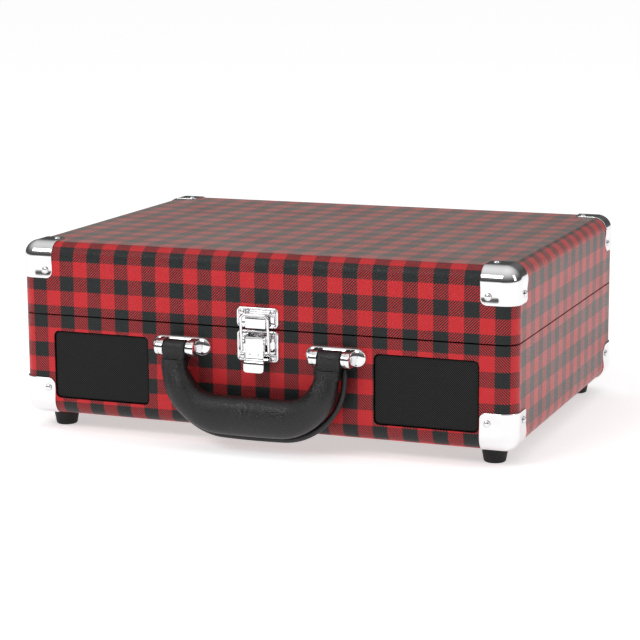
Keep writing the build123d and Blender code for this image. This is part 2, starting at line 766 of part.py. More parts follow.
# ---- latch -------------------------------------------------------------------------
def make_latch_base_plate():
    """Lower latch plate with the two ears and the pin that carry the lever."""
    plate = rounded_block(
        -LATCH_W / 2, LATCH_W / 2, FRONT - LATCH_T, FRONT,
        SEAM_Z - LATCH_LOW, SEAM_Z - LATCH_SEAM_GAP, LATCH_R, Axis.Y,
    )
    y_pin = FRONT - LEVER_OUT
    z_pin = SEAM_Z - LEVER_PIVOT
    inner = LEVER_W / 2 + EAR_PLATE_GAP
    for side in SIDES:
        xa = side * inner
        xb = side * (inner + EAR_PLATE_T)
        plate += block(min(xa, xb), max(xa, xb), y_pin, FRONT, z_pin - 3, z_pin + 3)
        plate += rod_x(xa, xb, y_pin, z_pin, 3)
    plate += rod_x(-inner - EAR_PLATE_T, inner + EAR_PLATE_T, y_pin, z_pin, LEVER_PIN_R)
    return plate


def make_latch_lever():
    """Lever: face plate, two side flanges with the pivot holes, and a flared tongue."""
    face_y0 = FRONT - LEVER_FACE - LEVER_T
    face_y1 = FRONT - LEVER_FACE
    half = LEVER_W / 2
    lever = block(-half, half, face_y0, face_y1, SEAM_Z - LEVER_BOTTOM, SEAM_Z - LEVER_TOP)
    for side in SIDES:
        xa = side * half
        xb = side * (half - LEVER_T)
        lever += block(
            min(xa, xb), max(xa, xb), face_y1, FRONT - LEVER_FLANGE_BACK,
            SEAM_Z - LEVER_FLANGE, SEAM_Z - LEVER_TOP,
        )
    lever += block(
        -TONGUE_W / 2, TONGUE_W / 2, face_y0 - TONGUE_STEP, face_y1,
        SEAM_Z - LEVER_BOTTOM - LEVER_T, SEAM_Z - LEVER_BOTTOM,
    )
    lever += block(
        -TONGUE_W / 2, TONGUE_W / 2, face_y0 - TONGUE_STEP, face_y0,
        SEAM_Z - TONGUE_LOW, SEAM_Z - LEVER_BOTTOM,
    )
    reach = half + 1
    hole = LEVER_PIN_R + LEVER_PIN_CLEAR
    lever -= rod_x(-reach, reach, FRONT - LEVER_OUT, SEAM_Z - LEVER_PIVOT, hole)
    wire = BAIL_WIRE_R + LEVER_PIN_CLEAR
    lever -= rod_x(-reach, reach, FRONT - BAIL_PIVOT_OUT, SEAM_Z - BAIL_PIVOT, wire)
    return lever


def make_latch_bail():
    """Wire bail: two legs, a top bar and two short ends that turn in through the lever's flanges."""
    y_low = FRONT - BAIL_PIVOT_OUT
    y_top = y_low - BAIL_LEAN
    z_low = SEAM_Z - BAIL_PIVOT
    z_top = SEAM_Z + BAIL_TOP
    end = LEVER_W / 2 - LEVER_T
    points = [
        (-end, y_low, z_low),
        (-BAIL_X, y_low, z_low),
        (-BAIL_X, y_top, z_top),
        (BAIL_X, y_top, z_top),
        (BAIL_X, y_low, z_low),
        (end, y_low, z_low),
    ]
    tight = BAIL_WIRE_R * 1.5
    path = FilletPolyline(*points, radius=[tight, BAIL_BEND_R, BAIL_BEND_R, tight])
    start = Plane(origin=path @ 0, z_dir=path % 0)
    return sweep(start * Circle(BAIL_WIRE_R), path=path)


def make_latch_keeper():
    """Upper latch plate on the lid, with the tab that the bail hooks over."""
    z0 = LID_Z + LATCH_SEAM_GAP
    plate = rounded_block(
        -LATCH_W / 2, LATCH_W / 2, FRONT - LATCH_T, FRONT, z0, z0 + KEEPER_H, LATCH_R, Axis.Y,
    )
    half = KEEPER_TAB_W / 2
    tab_top = SEAM_Z + KEEPER_TAB_TOP
    plate += block(-half, half, FRONT - KEEPER_TAB_OUT, FRONT - KEEPER_TAB_OUT + LATCH_T, z0, tab_top)
    plate += block(-half, half, FRONT - KEEPER_TAB_OUT, FRONT, tab_top - LATCH_T, tab_top)
    return plate


# ---- hinges and stay ----------------------------------------------------------------
def hinge_rivets(z):
    """Two rivets for each hinge leaf at one height."""
    y = BACK + LEAF_T
    return [rivet(s * HINGE_X + t * HINGE_RIVET_X, y, z, (0, 1, 0)) for s in SIDES for t in SIDES]


def knuckle_spans(centre):
    """Left, middle and right knuckle lengths of one hinge."""
    third = HINGE_W / 3
    left = centre - HINGE_W / 2
    return [(left + i * third + KNUCKLE_GAP / 2, left + (i + 1) * third - KNUCKLE_GAP / 2) for i in range(3)]


def hinge_leaf(centre, spans, up, bore):
    """Leaf with its knuckles; up is 1 for the lid's leaf and -1 for the base's."""
    z_far = HINGE_Z + up * LEAF_H
    z_near = HINGE_Z + up * (KNUCKLE_R + KNUCKLE_GAP)
    half = HINGE_W / 2
    leaf = block(
        centre - half, centre + half, BACK, BACK + LEAF_T, min(z_far, z_near), max(z_far, z_near),
    )
    for x0, x1 in spans:
        leaf += block(x0, x1, BACK, BACK + LEAF_T, min(HINGE_Z, z_near), max(HINGE_Z, z_near))
        leaf += rod_x(x0, x1, HINGE_Y, HINGE_Z, KNUCKLE_R)
        leaf -= rod_x(x0 - 1, x1 + 1, HINGE_Y, HINGE_Z, bore)
    return leaf


def make_hinge_base_leaves():
    """Base leaves, with the middle knuckles that hold the pins."""
    return [hinge_leaf(s * HINGE_X, knuckle_spans(s * HINGE_X)[1:2], -1, HINGE_PIN_R) for s in SIDES]


def make_hinge_lid_leaves():
    """Lid leaves, with the outer knuckles."""
    bore = HINGE_PIN_R + HINGE_PIN_CLEAR
    found = []
    for side in SIDES:
        spans = knuckle_spans(side * HINGE_X)
        found.append(hinge_leaf(side * HINGE_X, [spans[0], spans[2]], 1, bore))
    return found


def make_hinge_pins():
    """One steel pin in each hinge."""
    half = HINGE_W / 2
    return [rod_x(s * HINGE_X - half, s * HINGE_X + half, HINGE_Y, HINGE_Z, HINGE_PIN_R) for s in SIDES]


def stay_point(forward, up):
    """Place in Y and Z from the hinge axis."""
    return (HINGE_Y - forward, HINGE_Z + up)


def stay_planes():
    """Inner faces in X of the base bracket's post, the lower link and the upper link."""
    wall = -CAVITY_W / 2 + LINING_GAP + LINING_T + 1.0
    bracket = (wall, wall + STAY_LINK_T)
    lower = (bracket[1] + STAY_GAP, bracket[1] + STAY_GAP + STAY_LINK_T)
    upper = (lower[1] + STAY_GAP, lower[1] + STAY_GAP + STAY_LINK_T)
    return bracket, lower, upper


def stay_link(x_span, start, end, holes):
    """Flat round-ended link between two pivots, with a hole at each that has a radius."""
    width = STAY_LINK_W / 2
    run = hypot(end[0] - start[0], end[1] - start[1])
    slope = degrees(atan2(end[1] - start[1], end[0] - start[0]))
    bar = block(x_span[0], x_span[1], 0, run, -width, width)
    bar = Pos(0, start[0], start[1]) * Rot(slope, 0, 0) * bar
    for centre in (start, end):
        bar += rod_x(x_span[0], x_span[1], centre[0], centre[1], width)
    for centre, hole in zip((start, end), holes):
        if hole:
            bar -= rod_x(x_span[0] - 1, x_span[1] + 1, centre[0], centre[1], hole)
    return bar


def stay_pivots():
    """Base pivot, elbow and lid pivot of the closed stay."""
    base = stay_point(STAY_BASE_F, STAY_BASE_U)
    lid = stay_point(STAY_LID_F, STAY_LID_U)
    elbow = stay_point(STAY_BASE_F + STAY_LID_F, STAY_BASE_U + STAY_LID_U)
    return base, elbow, lid


def make_stay_base_bracket():
    """Bracket on the left wall of the base, with the lower link's pin."""
    base, _, _ = stay_pivots()
    bracket, lower, _ = stay_planes()
    wall = -CAVITY_W / 2
    z0 = SEAM_Z - COVER_T - STAY_STRIP_H
    z1 = SEAM_Z - COVER_T
    solid = block(wall, bracket[1], base[0] - STAY_STRIP_L / 2, base[0] + STAY_STRIP_L / 2, z0, z1)
    half = STAY_BRACKET_W / 2
    solid += block(bracket[0], bracket[1], base[0] - half, base[0] + half, z0, base[1])
    solid += rod_x(bracket[0], bracket[1], base[0], base[1], half)
    solid += rod_x(bracket[0], lower[1] + STAY_GAP / 2, base[0], base[1], STAY_PIN_R)
    return solid


def make_stay_lower_link():
    """Lower link, with the elbow pin."""
    base, elbow, _ = stay_pivots()
    _, lower, upper = stay_planes()
    link = stay_link(lower, base, elbow, (STAY_PIN_R + STAY_PIN_CLEAR, 0))
    return link + rod_x(lower[0], upper[1] + STAY_GAP, elbow[0], elbow[1], STAY_PIN_R)


def make_stay_upper_link():
    """Upper link, whose far hole turns on the lid bracket's pin with clearance."""
    _, elbow, lid = stay_pivots()
    _, _, upper = stay_planes()
    holes = (STAY_PIN_R + STAY_PIN_CLEAR, STAY_PIN_R + STAY_OPEN_CLEAR)
    return stay_link(upper, elbow, lid, holes)


def make_stay_lid_bracket():
    """Boss on the lid's left wall with the pin for the upper link."""
    _, _, lid = stay_pivots()
    _, lower, upper = stay_planes()
    wall = -CAVITY_W / 2 + LINING_GAP + LINING_T
    half = STAY_BRACKET_W / 2
    solid = rounded_block(
        wall, wall + STAY_LINK_T * 0.6, lid[0] - half * 2, lid[0] + half * 2,
        lid[1] - half, lid[1] + half, 2.0, Axis.X,
    )
    solid += rod_x(wall, lower[1], lid[0], lid[1], half * 0.7)
    return solid + rod_x(lower[1], upper[1] + STAY_GAP, lid[0], lid[1], STAY_PIN_R)


# ---- deck ----------------------------------------------------------------------------
def at_deck(x, y):
    """Place on the deck from case-centred X and Y."""
    return x, BODY_Y + y


def make_deck_plate():
    """Moulded deck with its openings and the well for the 45 rpm adapter."""
    deck = cavity_block(DECK_GAP, DECK_UNDER, DECK_Z)
    low = DECK_UNDER - 1
    top = DECK_Z + 1
    deck -= post(*SPINDLE, low, top, BUSH_R)
    deck -= post(*PULLEY, low, top, MOTOR_HOLE_R)
    deck -= post(*ARM, low, top, ARM_POST_R)
    deck -= post(*cue_post_place(), low, top, CUE_POST_R + CUE_POST_CLEAR)
    for x in (VOLUME_X, MODE_X):
        deck -= post(*at_deck(x, KNOB_Y), low, top, KNOB_SHAFT_R + KNOB_SHAFT_CLEAR)
    deck -= post(*at_deck(LED_X, LED_Y), low, top, LED_R)
    for x in JACK_X:
        deck -= post(*at_deck(x, JACK_Y), low, top, JACK_BODY_R)
    for y, travel in ((SPEED_Y, SWITCH_TRAVEL), (STOP_Y, STOP_TRAVEL)):
        half = SWITCH_STEM / 2 + SWITCH_SLOT_CLEAR
        x_switch, y_switch = at_deck(SWITCH_X, y)
        deck -= block(x_switch - half, x_switch + half, y_switch - half, y_switch + travel + half, low, top)
    for x, y in block_places():
        deck -= post(x, y, low, top, SCREW_HOLE_R)
    x, y = at_deck(ADAPTER_X, ADAPTER_Y)
    inner = ADAPTER_R + ADAPTER_GAP
    well = post(x, y, DECK_Z, DECK_Z + ADAPTER_WALL_H, inner + ADAPTER_WALL)
    well -= post(x, y, DECK_Z, DECK_Z + ADAPTER_WALL_H + 1, inner)
    return deck + well


def make_deck_screws():
    """Screws that hold the deck to the glued blocks."""
    bite = DECK_T + SCREW_BITE
    return [
        screw(x, y, DECK_Z, SCREW_HEAD_R, SCREW_HEAD_H, SCREW_R, bite) for x, y in block_places()
    ]


def make_platter():
    """Platter with a skirt, a drive ring and a hub pressed on the spindle."""
    top = DECK_Z + PLATTER_TOP
    under = top - PLATTER_T
    platter = post(*SPINDLE, under, top, PLATTER_R)
    platter = fillet(platter.edges().sort_by(Axis.Z)[-1], 1.0)
    skirt_low = DECK_Z + SKIRT_CLEAR
    skirt = post(*SPINDLE, skirt_low, under, PLATTER_R) - post(*SPINDLE, skirt_low, under, PLATTER_R - SKIRT_T)
    ring_low = under - PULLEY_H
    ring = post(*SPINDLE, ring_low, under, RING_R) - post(*SPINDLE, ring_low, under, RING_R - RING_T)
    hub_low = DECK_Z + BUSH_FLANGE_H + HUB_CLEAR
    hub = post(*SPINDLE, hub_low, under, HUB_R)
    platter = platter + skirt + ring + hub
    return platter - post(*SPINDLE, hub_low - 1, top + 1, JOURNAL_R)


def make_slipmat():
    """Felt mat with a hole that clears the spindle."""
    low = DECK_Z + PLATTER_TOP
    return post(*SPINDLE, low, MAT_TOP, MAT_R) - post(*SPINDLE, low - 1, MAT_TOP + 1, SPINDLE_R)


def make_spindle():
    """Ground steel spindle: a pin with a rounded tip on a thinner journal."""
    shoulder = MAT_TOP + SPINDLE_RELIEF
    pin = post(*SPINDLE, shoulder, MAT_TOP + SPINDLE_TIP, SPINDLE_R)
    pin = fillet(pin.edges().sort_by(Axis.Z)[-1], SPINDLE_R * 0.6)
    return pin + post(*SPINDLE, DECK_Z - SPINDLE_DOWN, shoulder, JOURNAL_R)


def make_platter_bearing():
    """Flanged brass bush in the deck; a closed end carries the spindle."""
    bush = post(*SPINDLE, DECK_Z - SPINDLE_DOWN - 2, DECK_Z + BUSH_FLANGE_H, BUSH_R)
    bush += post(*SPINDLE, DECK_Z, DECK_Z + BUSH_FLANGE_H, BUSH_FLANGE_R)
    bore_low = DECK_Z - SPINDLE_DOWN - BUSH_CLEAR
    return bush - post(*SPINDLE, bore_low, DECK_Z + BUSH_FLANGE_H + 1, JOURNAL_R + BUSH_CLEAR)


def make_motor():
    """Motor can hung under the deck."""
    can = post(*PULLEY, DECK_UNDER - MOTOR_H, DECK_UNDER, MOTOR_R)
    can = fillet(can.edges().sort_by(Axis.Z)[0], 2.0)
    return can - post(*PULLEY, DECK_UNDER - SHAFT_DEPTH, DECK_UNDER + 1, SHAFT_R + SHAFT_CLEAR)


def make_motor_pulley():
    """Crowned pulley pressed on the motor's shaft."""
    low = BELT_Z - PULLEY_H / 2
    high = BELT_Z + PULLEY_H / 2 - HUB_CLEAR
    pulley = post(*PULLEY, low, high, PULLEY_R)
    pulley += post(*PULLEY, low - PULLEY_FLANGE, low, PULLEY_R + 1)
    shaft_low = DECK_UNDER - SHAFT_DEPTH + SHAFT_CLEAR
    return pulley + post(*PULLEY, shaft_low, low, SHAFT_R)


def belt_outline(grow):
    """Face between a loop round the ring and the pulley, and its own centre line grown outwards."""
    big = RING_R + grow
    small = PULLEY_R + grow
    tilt = (big - small) / PULLEY_REACH
    up_x = tilt
    up_y = (1 - tilt * tilt) ** 0.5
    top = Line((big * up_x, big * up_y), (PULLEY_REACH + small * up_x, small * up_y))
    low = Line((PULLEY_REACH + small * up_x, -small * up_y), (big * up_x, -big * up_y))
    nose = ThreePointArc(top @ 1, (PULLEY_REACH + small, 0), low @ 0)
    back = ThreePointArc(low @ 1, (-big, 0), top @ 0)
    return make_face([top, nose, low, back])


def make_drive_belt():
    """Flat rubber belt round the platter's ring and the pulley."""
    loop = extrude(belt_outline(BELT_GAP + BELT_T), BELT_H) - extrude(belt_outline(BELT_GAP), BELT_H)
    place = Pos(*SPINDLE, BELT_Z - BELT_H / 2) * Rot(0, 0, PULLEY_ANGLE)
    return place * loop


# ---- tonearm -------------------------------------------------------------------------
def cue_post_place():
    """Centre of the lift bar's post, halfway along its arc."""
    middle = radians(CUE_SWEEP / 2)
    return ARM[0] - CUE_R * sin(middle), ARM[1] - CUE_R * cos(middle)


def cue_pivot():
    """Cue lever's pivot: X of the block's outer face, Y and Z of the axis."""
    return ARM[0] + CUE_BLOCK_X, ARM[1] - 12.0, DECK_Z + CUE_BLOCK_Z - 4.0


def make_tonearm_base():
    """Round base with the yaw post, and the block that carries the cue lever."""
    base = post(*ARM, DECK_Z, DECK_Z + ARM_BASE_H, ARM_BASE_R)
    base = fillet(base.edges().sort_by(Axis.Z)[-1], 2.0)
    x_pivot, y_pivot, z_pivot = cue_pivot()
    cue = rounded_block(
        ARM[0] + 10, x_pivot, y_pivot - 8, y_pivot + 12, DECK_Z, DECK_Z + CUE_BLOCK_Z, 2.0, Axis.Z,
    )
    base += cue
    post_top = DECK_Z + ARM_BASE_H + GIMBAL_GAP + GIMBAL_FLOOR + 1
    base += post(*ARM, DECK_UNDER, post_top, ARM_POST_R)
    base += rod_x(x_pivot - 1, x_pivot + 6, y_pivot, z_pivot, LEVER_PIN_R)
    return base


def make_tonearm_gimbal():
    """Turning housing with a slot for the arm and the pin that it tilts on."""
    low = DECK_Z + ARM_BASE_H + GIMBAL_GAP
    high = DECK_Z + GIMBAL_TOP
    housing = post(*ARM, low, high, GIMBAL_R)
    housing = fillet(housing.edges().sort_by(Axis.Z)[-1], 2.5)
    half = GIMBAL_SLOT / 2
    reach = GIMBAL_R + 1
    slot_low = ARM_Z - ARM_YOKE_R - 2.0
    housing -= block(
        ARM[0] - half, ARM[0] + half, ARM[1] - reach, ARM[1] + reach, slot_low, high + 1,
    )
    housing -= post(*ARM, low - 1, low + GIMBAL_FLOOR + 1.5, ARM_POST_R + ARM_POST_CLEAR)
    housing += rod_x(ARM[0] - half - 1, ARM[0] + half + 1, ARM[1], ARM_Z, ARM_PIN_R)
    return housing


def make_tonearm_tube():
    """Straight tube with the pivot collar."""
    tube = rod_y(ARM[0], ARM[1] - ARM_TUBE_L, ARM[1] + ARM_TAIL_L, ARM_Z, ARM_TUBE_R)
    half = GIMBAL_SLOT / 2 - 0.5
    tube += rod_x(ARM[0] - half, ARM[0] + half, ARM[1], ARM_Z, ARM_YOKE_R)
    return tube - rod_x(ARM[0] - half - 1, ARM[0] + half + 1, ARM[1], ARM_Z, ARM_PIN_R + ARM_PIN_CLEAR)


def headshell_span():
    """Y of the headshell's root and tip."""
    root = ARM[1] - ARM_TUBE_L
    return root, root - HEADSHELL_L


def make_headshell():
    """Flat headshell with a finger lift on its outer side."""
    root, tip = headshell_span()
    half = HEADSHELL_W / 2
    z0 = ARM_Z - ARM_TUBE_R + 1
    shell = rounded_block(
        ARM[0] - half, ARM[0] + half, tip, root + 6, z0, z0 + HEADSHELL_T, HEADSHELL_ROUND, Axis.Z,
    )
    shell += rounded_block(
        ARM[0] - ARM_TUBE_R - 1.5, ARM[0] + ARM_TUBE_R + 1.5, root, root + 9,
        ARM_Z - ARM_TUBE_R - 1, ARM_Z + ARM_TUBE_R + 1, 2.0, Axis.Y,
    )
    shell -= rod_y(ARM[0], root, root + 10, ARM_Z, ARM_TUBE_R)
    lift = block(ARM[0] + half - 2, ARM[0] + half + LIFT_TAB_L, tip + 6, tip + 10, z0 + 1, z0 + 2.4)
    return shell + lift


def cartridge_top():
    """Height of the cartridge's top face."""
    return ARM_Z - ARM_TUBE_R + 1


def make_cartridge():
    """Cartridge body under the headshell."""
    y_stylus = ARM[1] - STYLUS_REACH
    top = cartridge_top()
    return rounded_block(
        ARM[0] - CARTRIDGE_W / 2, ARM[0] + CARTRIDGE_W / 2, y_stylus - 2, y_stylus - 2 + CARTRIDGE_L,
        top - CARTRIDGE_H, top, 1.2, Axis.Z,
    )


def make_stylus():
    """Stylus holder with its cantilever and tip."""
    y_stylus = ARM[1] - STYLUS_REACH
    low = cartridge_top() - CARTRIDGE_H
    half = STYLUS_W / 2
    holder = block(ARM[0] - half, ARM[0] + half, y_stylus - 1, y_stylus - 1 + STYLUS_L, low - 1.6, low)
    tip_z = MAT_TOP + STYLUS_CLEAR
    tip = Pos(ARM[0], y_stylus, (tip_z + low - 1.6) / 2) * Cone(0.25, 0.9, low - 1.6 - tip_z)
    return holder + tip


def make_counterweight():
    """Counterweight on the arm's tail."""
    y0 = ARM[1] + ARM_TAIL_L
    weight = rod_y(ARM[0], y0, y0 + WEIGHT_L * 0.75, ARM_Z, WEIGHT_R)
    return fillet(weight.edges().filter_by(GeomType.CIRCLE), 1.2)


def make_tonearm_rest():
    """Rest: a post with a shelf under the tube, a wall outside it and the clip's ears."""
    x = ARM[0]
    y = BODY_Y + REST_Y
    shelf = ARM_Z - ARM_TUBE_R - REST_SHELF_GAP
    half = REST_W / 2
    rest = post(x, y, DECK_Z, DECK_Z + 4, REST_R)
    rest += block(x - half, x + half, y - half, y + half, DECK_Z, shelf)
    x_wall = x + ARM_TUBE_R + 1.0
    rest += block(x - half, x_wall + REST_WALL_T, y - half, y + half, shelf - 3, shelf)
    rest += block(x_wall, x_wall + REST_WALL_T, y - half, y + half, shelf - 3, clip_pivot()[2] - 2.4)
    for end in SIDES:
        y_ear = y + end * (half - 1)
        rest += block(
            x_wall, x_wall + REST_WALL_T, y_ear - 1, y_ear + 1, clip_pivot()[2] - 2.4, clip_pivot()[2],
        )
        rest += rod_y(x_wall + REST_WALL_T / 2, y_ear - 1, y_ear + 1, clip_pivot()[2], REST_WALL_T / 2)
    rest += rod_y(clip_pivot()[0], y - half + 1, y + half - 1, clip_pivot()[2], 0.8)
    return rest


def clip_pivot():
    """Clip's pivot in X, Y and Z."""
    x_wall = ARM[0] + ARM_TUBE_R + 1.0
    return x_wall + REST_WALL_T / 2, BODY_Y + REST_Y, ARM_Z + ARM_TUBE_R + 1.5


def make_tonearm_clip():
    """Clip that closes over the tube, standing open."""
    x, y, z = clip_pivot()
    half = REST_W / 2 - 2.4
    clip = rod_y(x, y - half, y + half, z, 1.6)
    clip += block(x - CLIP_T / 2, x + CLIP_T / 2, y - half, y + half, z, z + CLIP_L)
    clip += rod_y(x, y - half, y + half, z + CLIP_L, CLIP_T / 2)
    return clip - rod_y(x, y - half - 1, y + half + 1, z, 0.86)


def make_cue_lever():
    """Cue lever: an eye on its pin, a rod and a small grip, lying forward."""
    x, y, z = cue_pivot()
    x0 = x + 1.0
    x1 = x + 5.0
    x_rod = (x0 + x1) / 2
    lever = rod_x(x0, x1, y, z, 3.2)
    lever += rod_y(x_rod, y - CUE_LEVER_L, y - 2, z, CUE_LEVER_R)
    lever += rod_y(x_rod, y - CUE_LEVER_L - 6, y - CUE_LEVER_L + 1, z, CUE_KNOB_R)
    return lever - rod_x(x0 - 1, x1 + 1, y, z, LEVER_PIN_R + LEVER_PIN_CLEAR)


def make_cue_platform():
    """Curved lift bar under the arm, on its post through the deck."""
    top = ARM_Z - ARM_TUBE_R - CUE_BAR_GAP
    low = top - CUE_BAR_T
    ring = post(*ARM, low, top, CUE_R + CUE_BAR_W / 2) - post(*ARM, low - 1, top + 1, CUE_R - CUE_BAR_W / 2)
    reach = CUE_R * 2
    first = radians(-4.0)
    last = radians(CUE_SWEEP + 4.0)
    corners = [(0, 0), (-reach * sin(first), -reach * cos(first)), (-reach * sin(last), -reach * cos(last))]
    wedge = extrude(make_face(Polyline(*corners, close=True)), top - low)
    bar = ring & (Pos(ARM[0], ARM[1], low) * wedge)
    return bar + post(*cue_post_place(), DECK_UNDER - 10, low + 1, CUE_POST_R)


# ---- controls --------------------------------------------------------------------------
def make_knob(x):
    """Ribless skirted knob with an index groove, on its shaft."""
    cx, cy = at_deck(x, KNOB_Y)
    low = DECK_Z + KNOB_GAP
    knob = post(cx, cy, low, DECK_Z + KNOB_H, KNOB_R)
    knob = fillet(knob.edges().sort_by(Axis.Z)[-1], 1.5)
    knob -= block(cx - 0.6, cx + 0.6, cy + KNOB_R * 0.45, cy + KNOB_R + 1, DECK_Z + KNOB_H - 1, DECK_Z + KNOB_H + 1)
    return knob + post(cx, cy, DECK_UNDER + KNOB_SHAFT_CLEAR, low, KNOB_SHAFT_R)


def make_switch(y):
    """Slide switch cap with its stem and the foot that keeps it in the slot."""
    cx, cy = at_deck(SWITCH_X, y)
    half = SWITCH_STEM / 2
    cap = rounded_block(
        cx - SWITCH_W / 2, cx + SWITCH_W / 2, cy - SWITCH_L / 2, cy + SWITCH_L / 2,
        DECK_Z + 0.4, DECK_Z + SWITCH_H, 1.0, Axis.Z,
    )
    cap += block(cx - half, cx + half, cy - half, cy + half, DECK_UNDER - 2.0, DECK_Z + 1)
    return cap + block(cx - half - 2, cx + half + 2, cy - half, cy + half, DECK_UNDER - 2.0, DECK_UNDER - 0.4)


def make_power_led():
    """Round indicator lamp in the deck."""
    cx, cy = at_deck(LED_X, LED_Y)
    lamp = post(cx, cy, DECK_UNDER - 3, DECK_Z + 1.2, LED_R)
    return fillet(lamp.edges().sort_by(Axis.Z)[-1], LED_R * 0.8)


def make_front_jacks():
    """Headphone and line-in sockets in the deck."""
    found = []
    for x in JACK_X:
        cx, cy = at_deck(x, JACK_Y)
        jack = post(cx, cy, DECK_Z, DECK_Z + JACK_NUT_H, JACK_NUT_R)
        jack += post(cx, cy, DECK_Z - JACK_BODY_H, DECK_Z, JACK_BODY_R)
        jack -= post(cx, cy, DECK_Z - JACK_BODY_H + 1, DECK_Z + JACK_NUT_H + 1, JACK_BORE_R)
        found.append(jack)
    return found


def make_adapter_45():
    """Adapter disc for large-hole records, in its well."""
    cx, cy = at_deck(ADAPTER_X, ADAPTER_Y)
    disc = post(cx, cy, DECK_Z, DECK_Z + ADAPTER_H, ADAPTER_R)
    disc = fillet(disc.edges().sort_by(Axis.Z)[-1], 1.0)
    return disc - post(cx, cy, DECK_Z - 1, DECK_Z + ADAPTER_H + 1, ADAPTER_BORE_R)


def board_x():
    """Middle of the board in X."""
    return (VOLUME_X + MODE_X) / 2


def make_main_board():
    """Circuit board hung under the deck on the two controls' bodies."""
    z1 = DECK_UNDER - POT_H
    cx, cy = at_deck(board_x(), KNOB_Y)
    y0 = cy - POT_R - 2
    board = block(cx - BOARD_W / 2, cx + BOARD_W / 2, y0, y0 + BOARD_D, z1 - BOARD_T, z1)
    for x in (VOLUME_X, MODE_X):
        board += post(*at_deck(x, KNOB_Y), z1, DECK_UNDER, POT_R)
    return board


# ---- rear connections --------------------------------------------------------------------
def panel_face():
    """Y of the connection panel's outer face."""
    return BACK - PANEL_SINK


def make_rear_panel():
    """Recessed panel with its three holes."""
    y1 = panel_face()
    gap = 0.2
    panel = panel_window(-gap, y1 - PANEL_T, y1)
    z = BASE_Z + PANEL_Z
    for x in RCA_X:
        panel -= rod_y(PANEL_X + x, y1 - PANEL_T - 1, y1 + 1, z, RCA_TAIL_R)
    return panel - rod_y(PANEL_X + DC_X, y1 - PANEL_T - 1, y1 + 1, z, DC_R)


def make_rear_jacks():
    """Two phono line outputs and the power inlet."""
    y1 = panel_face()
    z = BASE_Z + PANEL_Z
    found = []
    for x in RCA_X:
        cx = PANEL_X + x
        jack = rod_y(cx, y1, y1 + RCA_FLANGE_H, z, RCA_FLANGE_R)
        jack += rod_y(cx, y1, y1 + RCA_FLANGE_H + RCA_BARREL, z, RCA_R)
        jack += rod_y(cx, y1 - RCA_TAIL, y1, z, RCA_TAIL_R)
        jack -= rod_y(cx, y1, y1 + RCA_FLANGE_H + RCA_BARREL + 1, z, RCA_BORE_R)
        found.append(jack)
    cx = PANEL_X + DC_X
    inlet = rod_y(cx, y1 - DC_DEPTH - 3, y1 + DC_PROUD, z, DC_R)
    inlet -= rod_y(cx, y1 - DC_DEPTH, y1 + DC_PROUD + 1, z, DC_BORE_R)
    inlet += rod_y(cx, y1 - DC_DEPTH - 1, y1 - 1, z, DC_PIN_R)
    found.append(inlet)
    return found


def build_nodes():
    """Every node of the assembly by name."""
    return {
        "base_shell": make_base_shell(),
        "base_covering": make_base_covering(),
        "lid_shell": make_lid_shell(),
        "lid_covering": make_lid_covering(),
        "lid_lining": make_lid_lining(),
        "lid_corners": make_lid_corners(),
        "base_corners": make_base_corners(),
        "lid_rivets": make_lid_rivets(),
        "base_rivets": make_base_rivets(),
        "feet": make_feet(),
        "foot_screws": make_foot_screws(),
        "grille_left": make_grille(-1),
        "grille_right": make_grille(1),
        "speaker_left": make_speaker(-1),
        "speaker_right": make_speaker(1),
        "speaker_leads": make_speaker_leads(),
        "handle_mounts": make_handle_mounts(),
        "handle_pins": make_handle_pins(),
        "handle_grip": make_handle_grip(),
        "latch_base_plate": make_latch_base_plate(),
        "latch_lever": make_latch_lever(),
        "latch_bail": make_latch_bail(),
        "latch_keeper": make_latch_keeper(),
        "hinge_base_leaves": make_hinge_base_leaves(),
        "hinge_lid_leaves": make_hinge_lid_leaves(),
        "hinge_pins": make_hinge_pins(),
        "stay_base_bracket": make_stay_base_bracket(),
        "stay_lower_link": make_stay_lower_link(),
        "stay_upper_link": make_stay_upper_link(),
        "stay_lid_bracket": make_stay_lid_bracket(),
        "deck_plate": make_deck_plate(),
        "deck_screws": make_deck_screws(),
        "platter": make_platter(),
        "slipmat": make_slipmat(),
        "spindle": make_spindle(),
        "platter_bearing": make_platter_bearing(),
        "motor": make_motor(),
        "motor_pulley": make_motor_pulley(),
        "drive_belt": make_drive_belt(),
        "tonearm_base": make_tonearm_base(),
        "tonearm_gimbal": make_tonearm_gimbal(),
        "tonearm_tube": make_tonearm_tube(),
        "headshell": make_headshell(),
        "cartridge": make_cartridge(),
        "stylus": make_stylus(),
        "counterweight": make_counterweight(),
        "tonearm_rest": make_tonearm_rest(),
        "tonearm_clip": make_tonearm_clip(),
        "cue_lever": make_cue_lever(),
        "cue_platform": make_cue_platform(),
        "volume_knob": make_knob(VOLUME_X),
        "mode_knob": make_knob(MODE_X),
        "speed_switch": make_switch(SPEED_Y),
        "autostop_switch": make_switch(STOP_Y),
        "power_led": make_power_led(),
        "front_jacks": make_front_jacks(),
        "adapter_45": make_adapter_45(),
        "main_board": make_main_board(),
        "rear_panel": make_rear_panel(),
        "rear_jacks": make_rear_jacks(),
    }


def main():
    """Build every node and write it as a STEP file."""
    os.makedirs("parts", exist_ok=True)
    for name, shape in build_nodes().items():
        if isinstance(shape, list):
            shape = Compound(children=shape)
        export_step(shape, os.path.join("parts", name + ".step"))


if __name__ == "__main__":
    main()
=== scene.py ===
"""Looks of a covered suitcase record player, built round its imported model.

Metres, +Z up, front towards -Y.  Each sub-assembly is a class that builds its
pieces from grids and profiles and dresses them; each finish is a small class.
"""
import logging
import math
from dataclasses import dataclass, field
from enum import Enum
from typing import Callable, Iterable, Optional, Sequence

import bmesh
import bpy
import numpy as np
from mathutils import Matrix, Vector


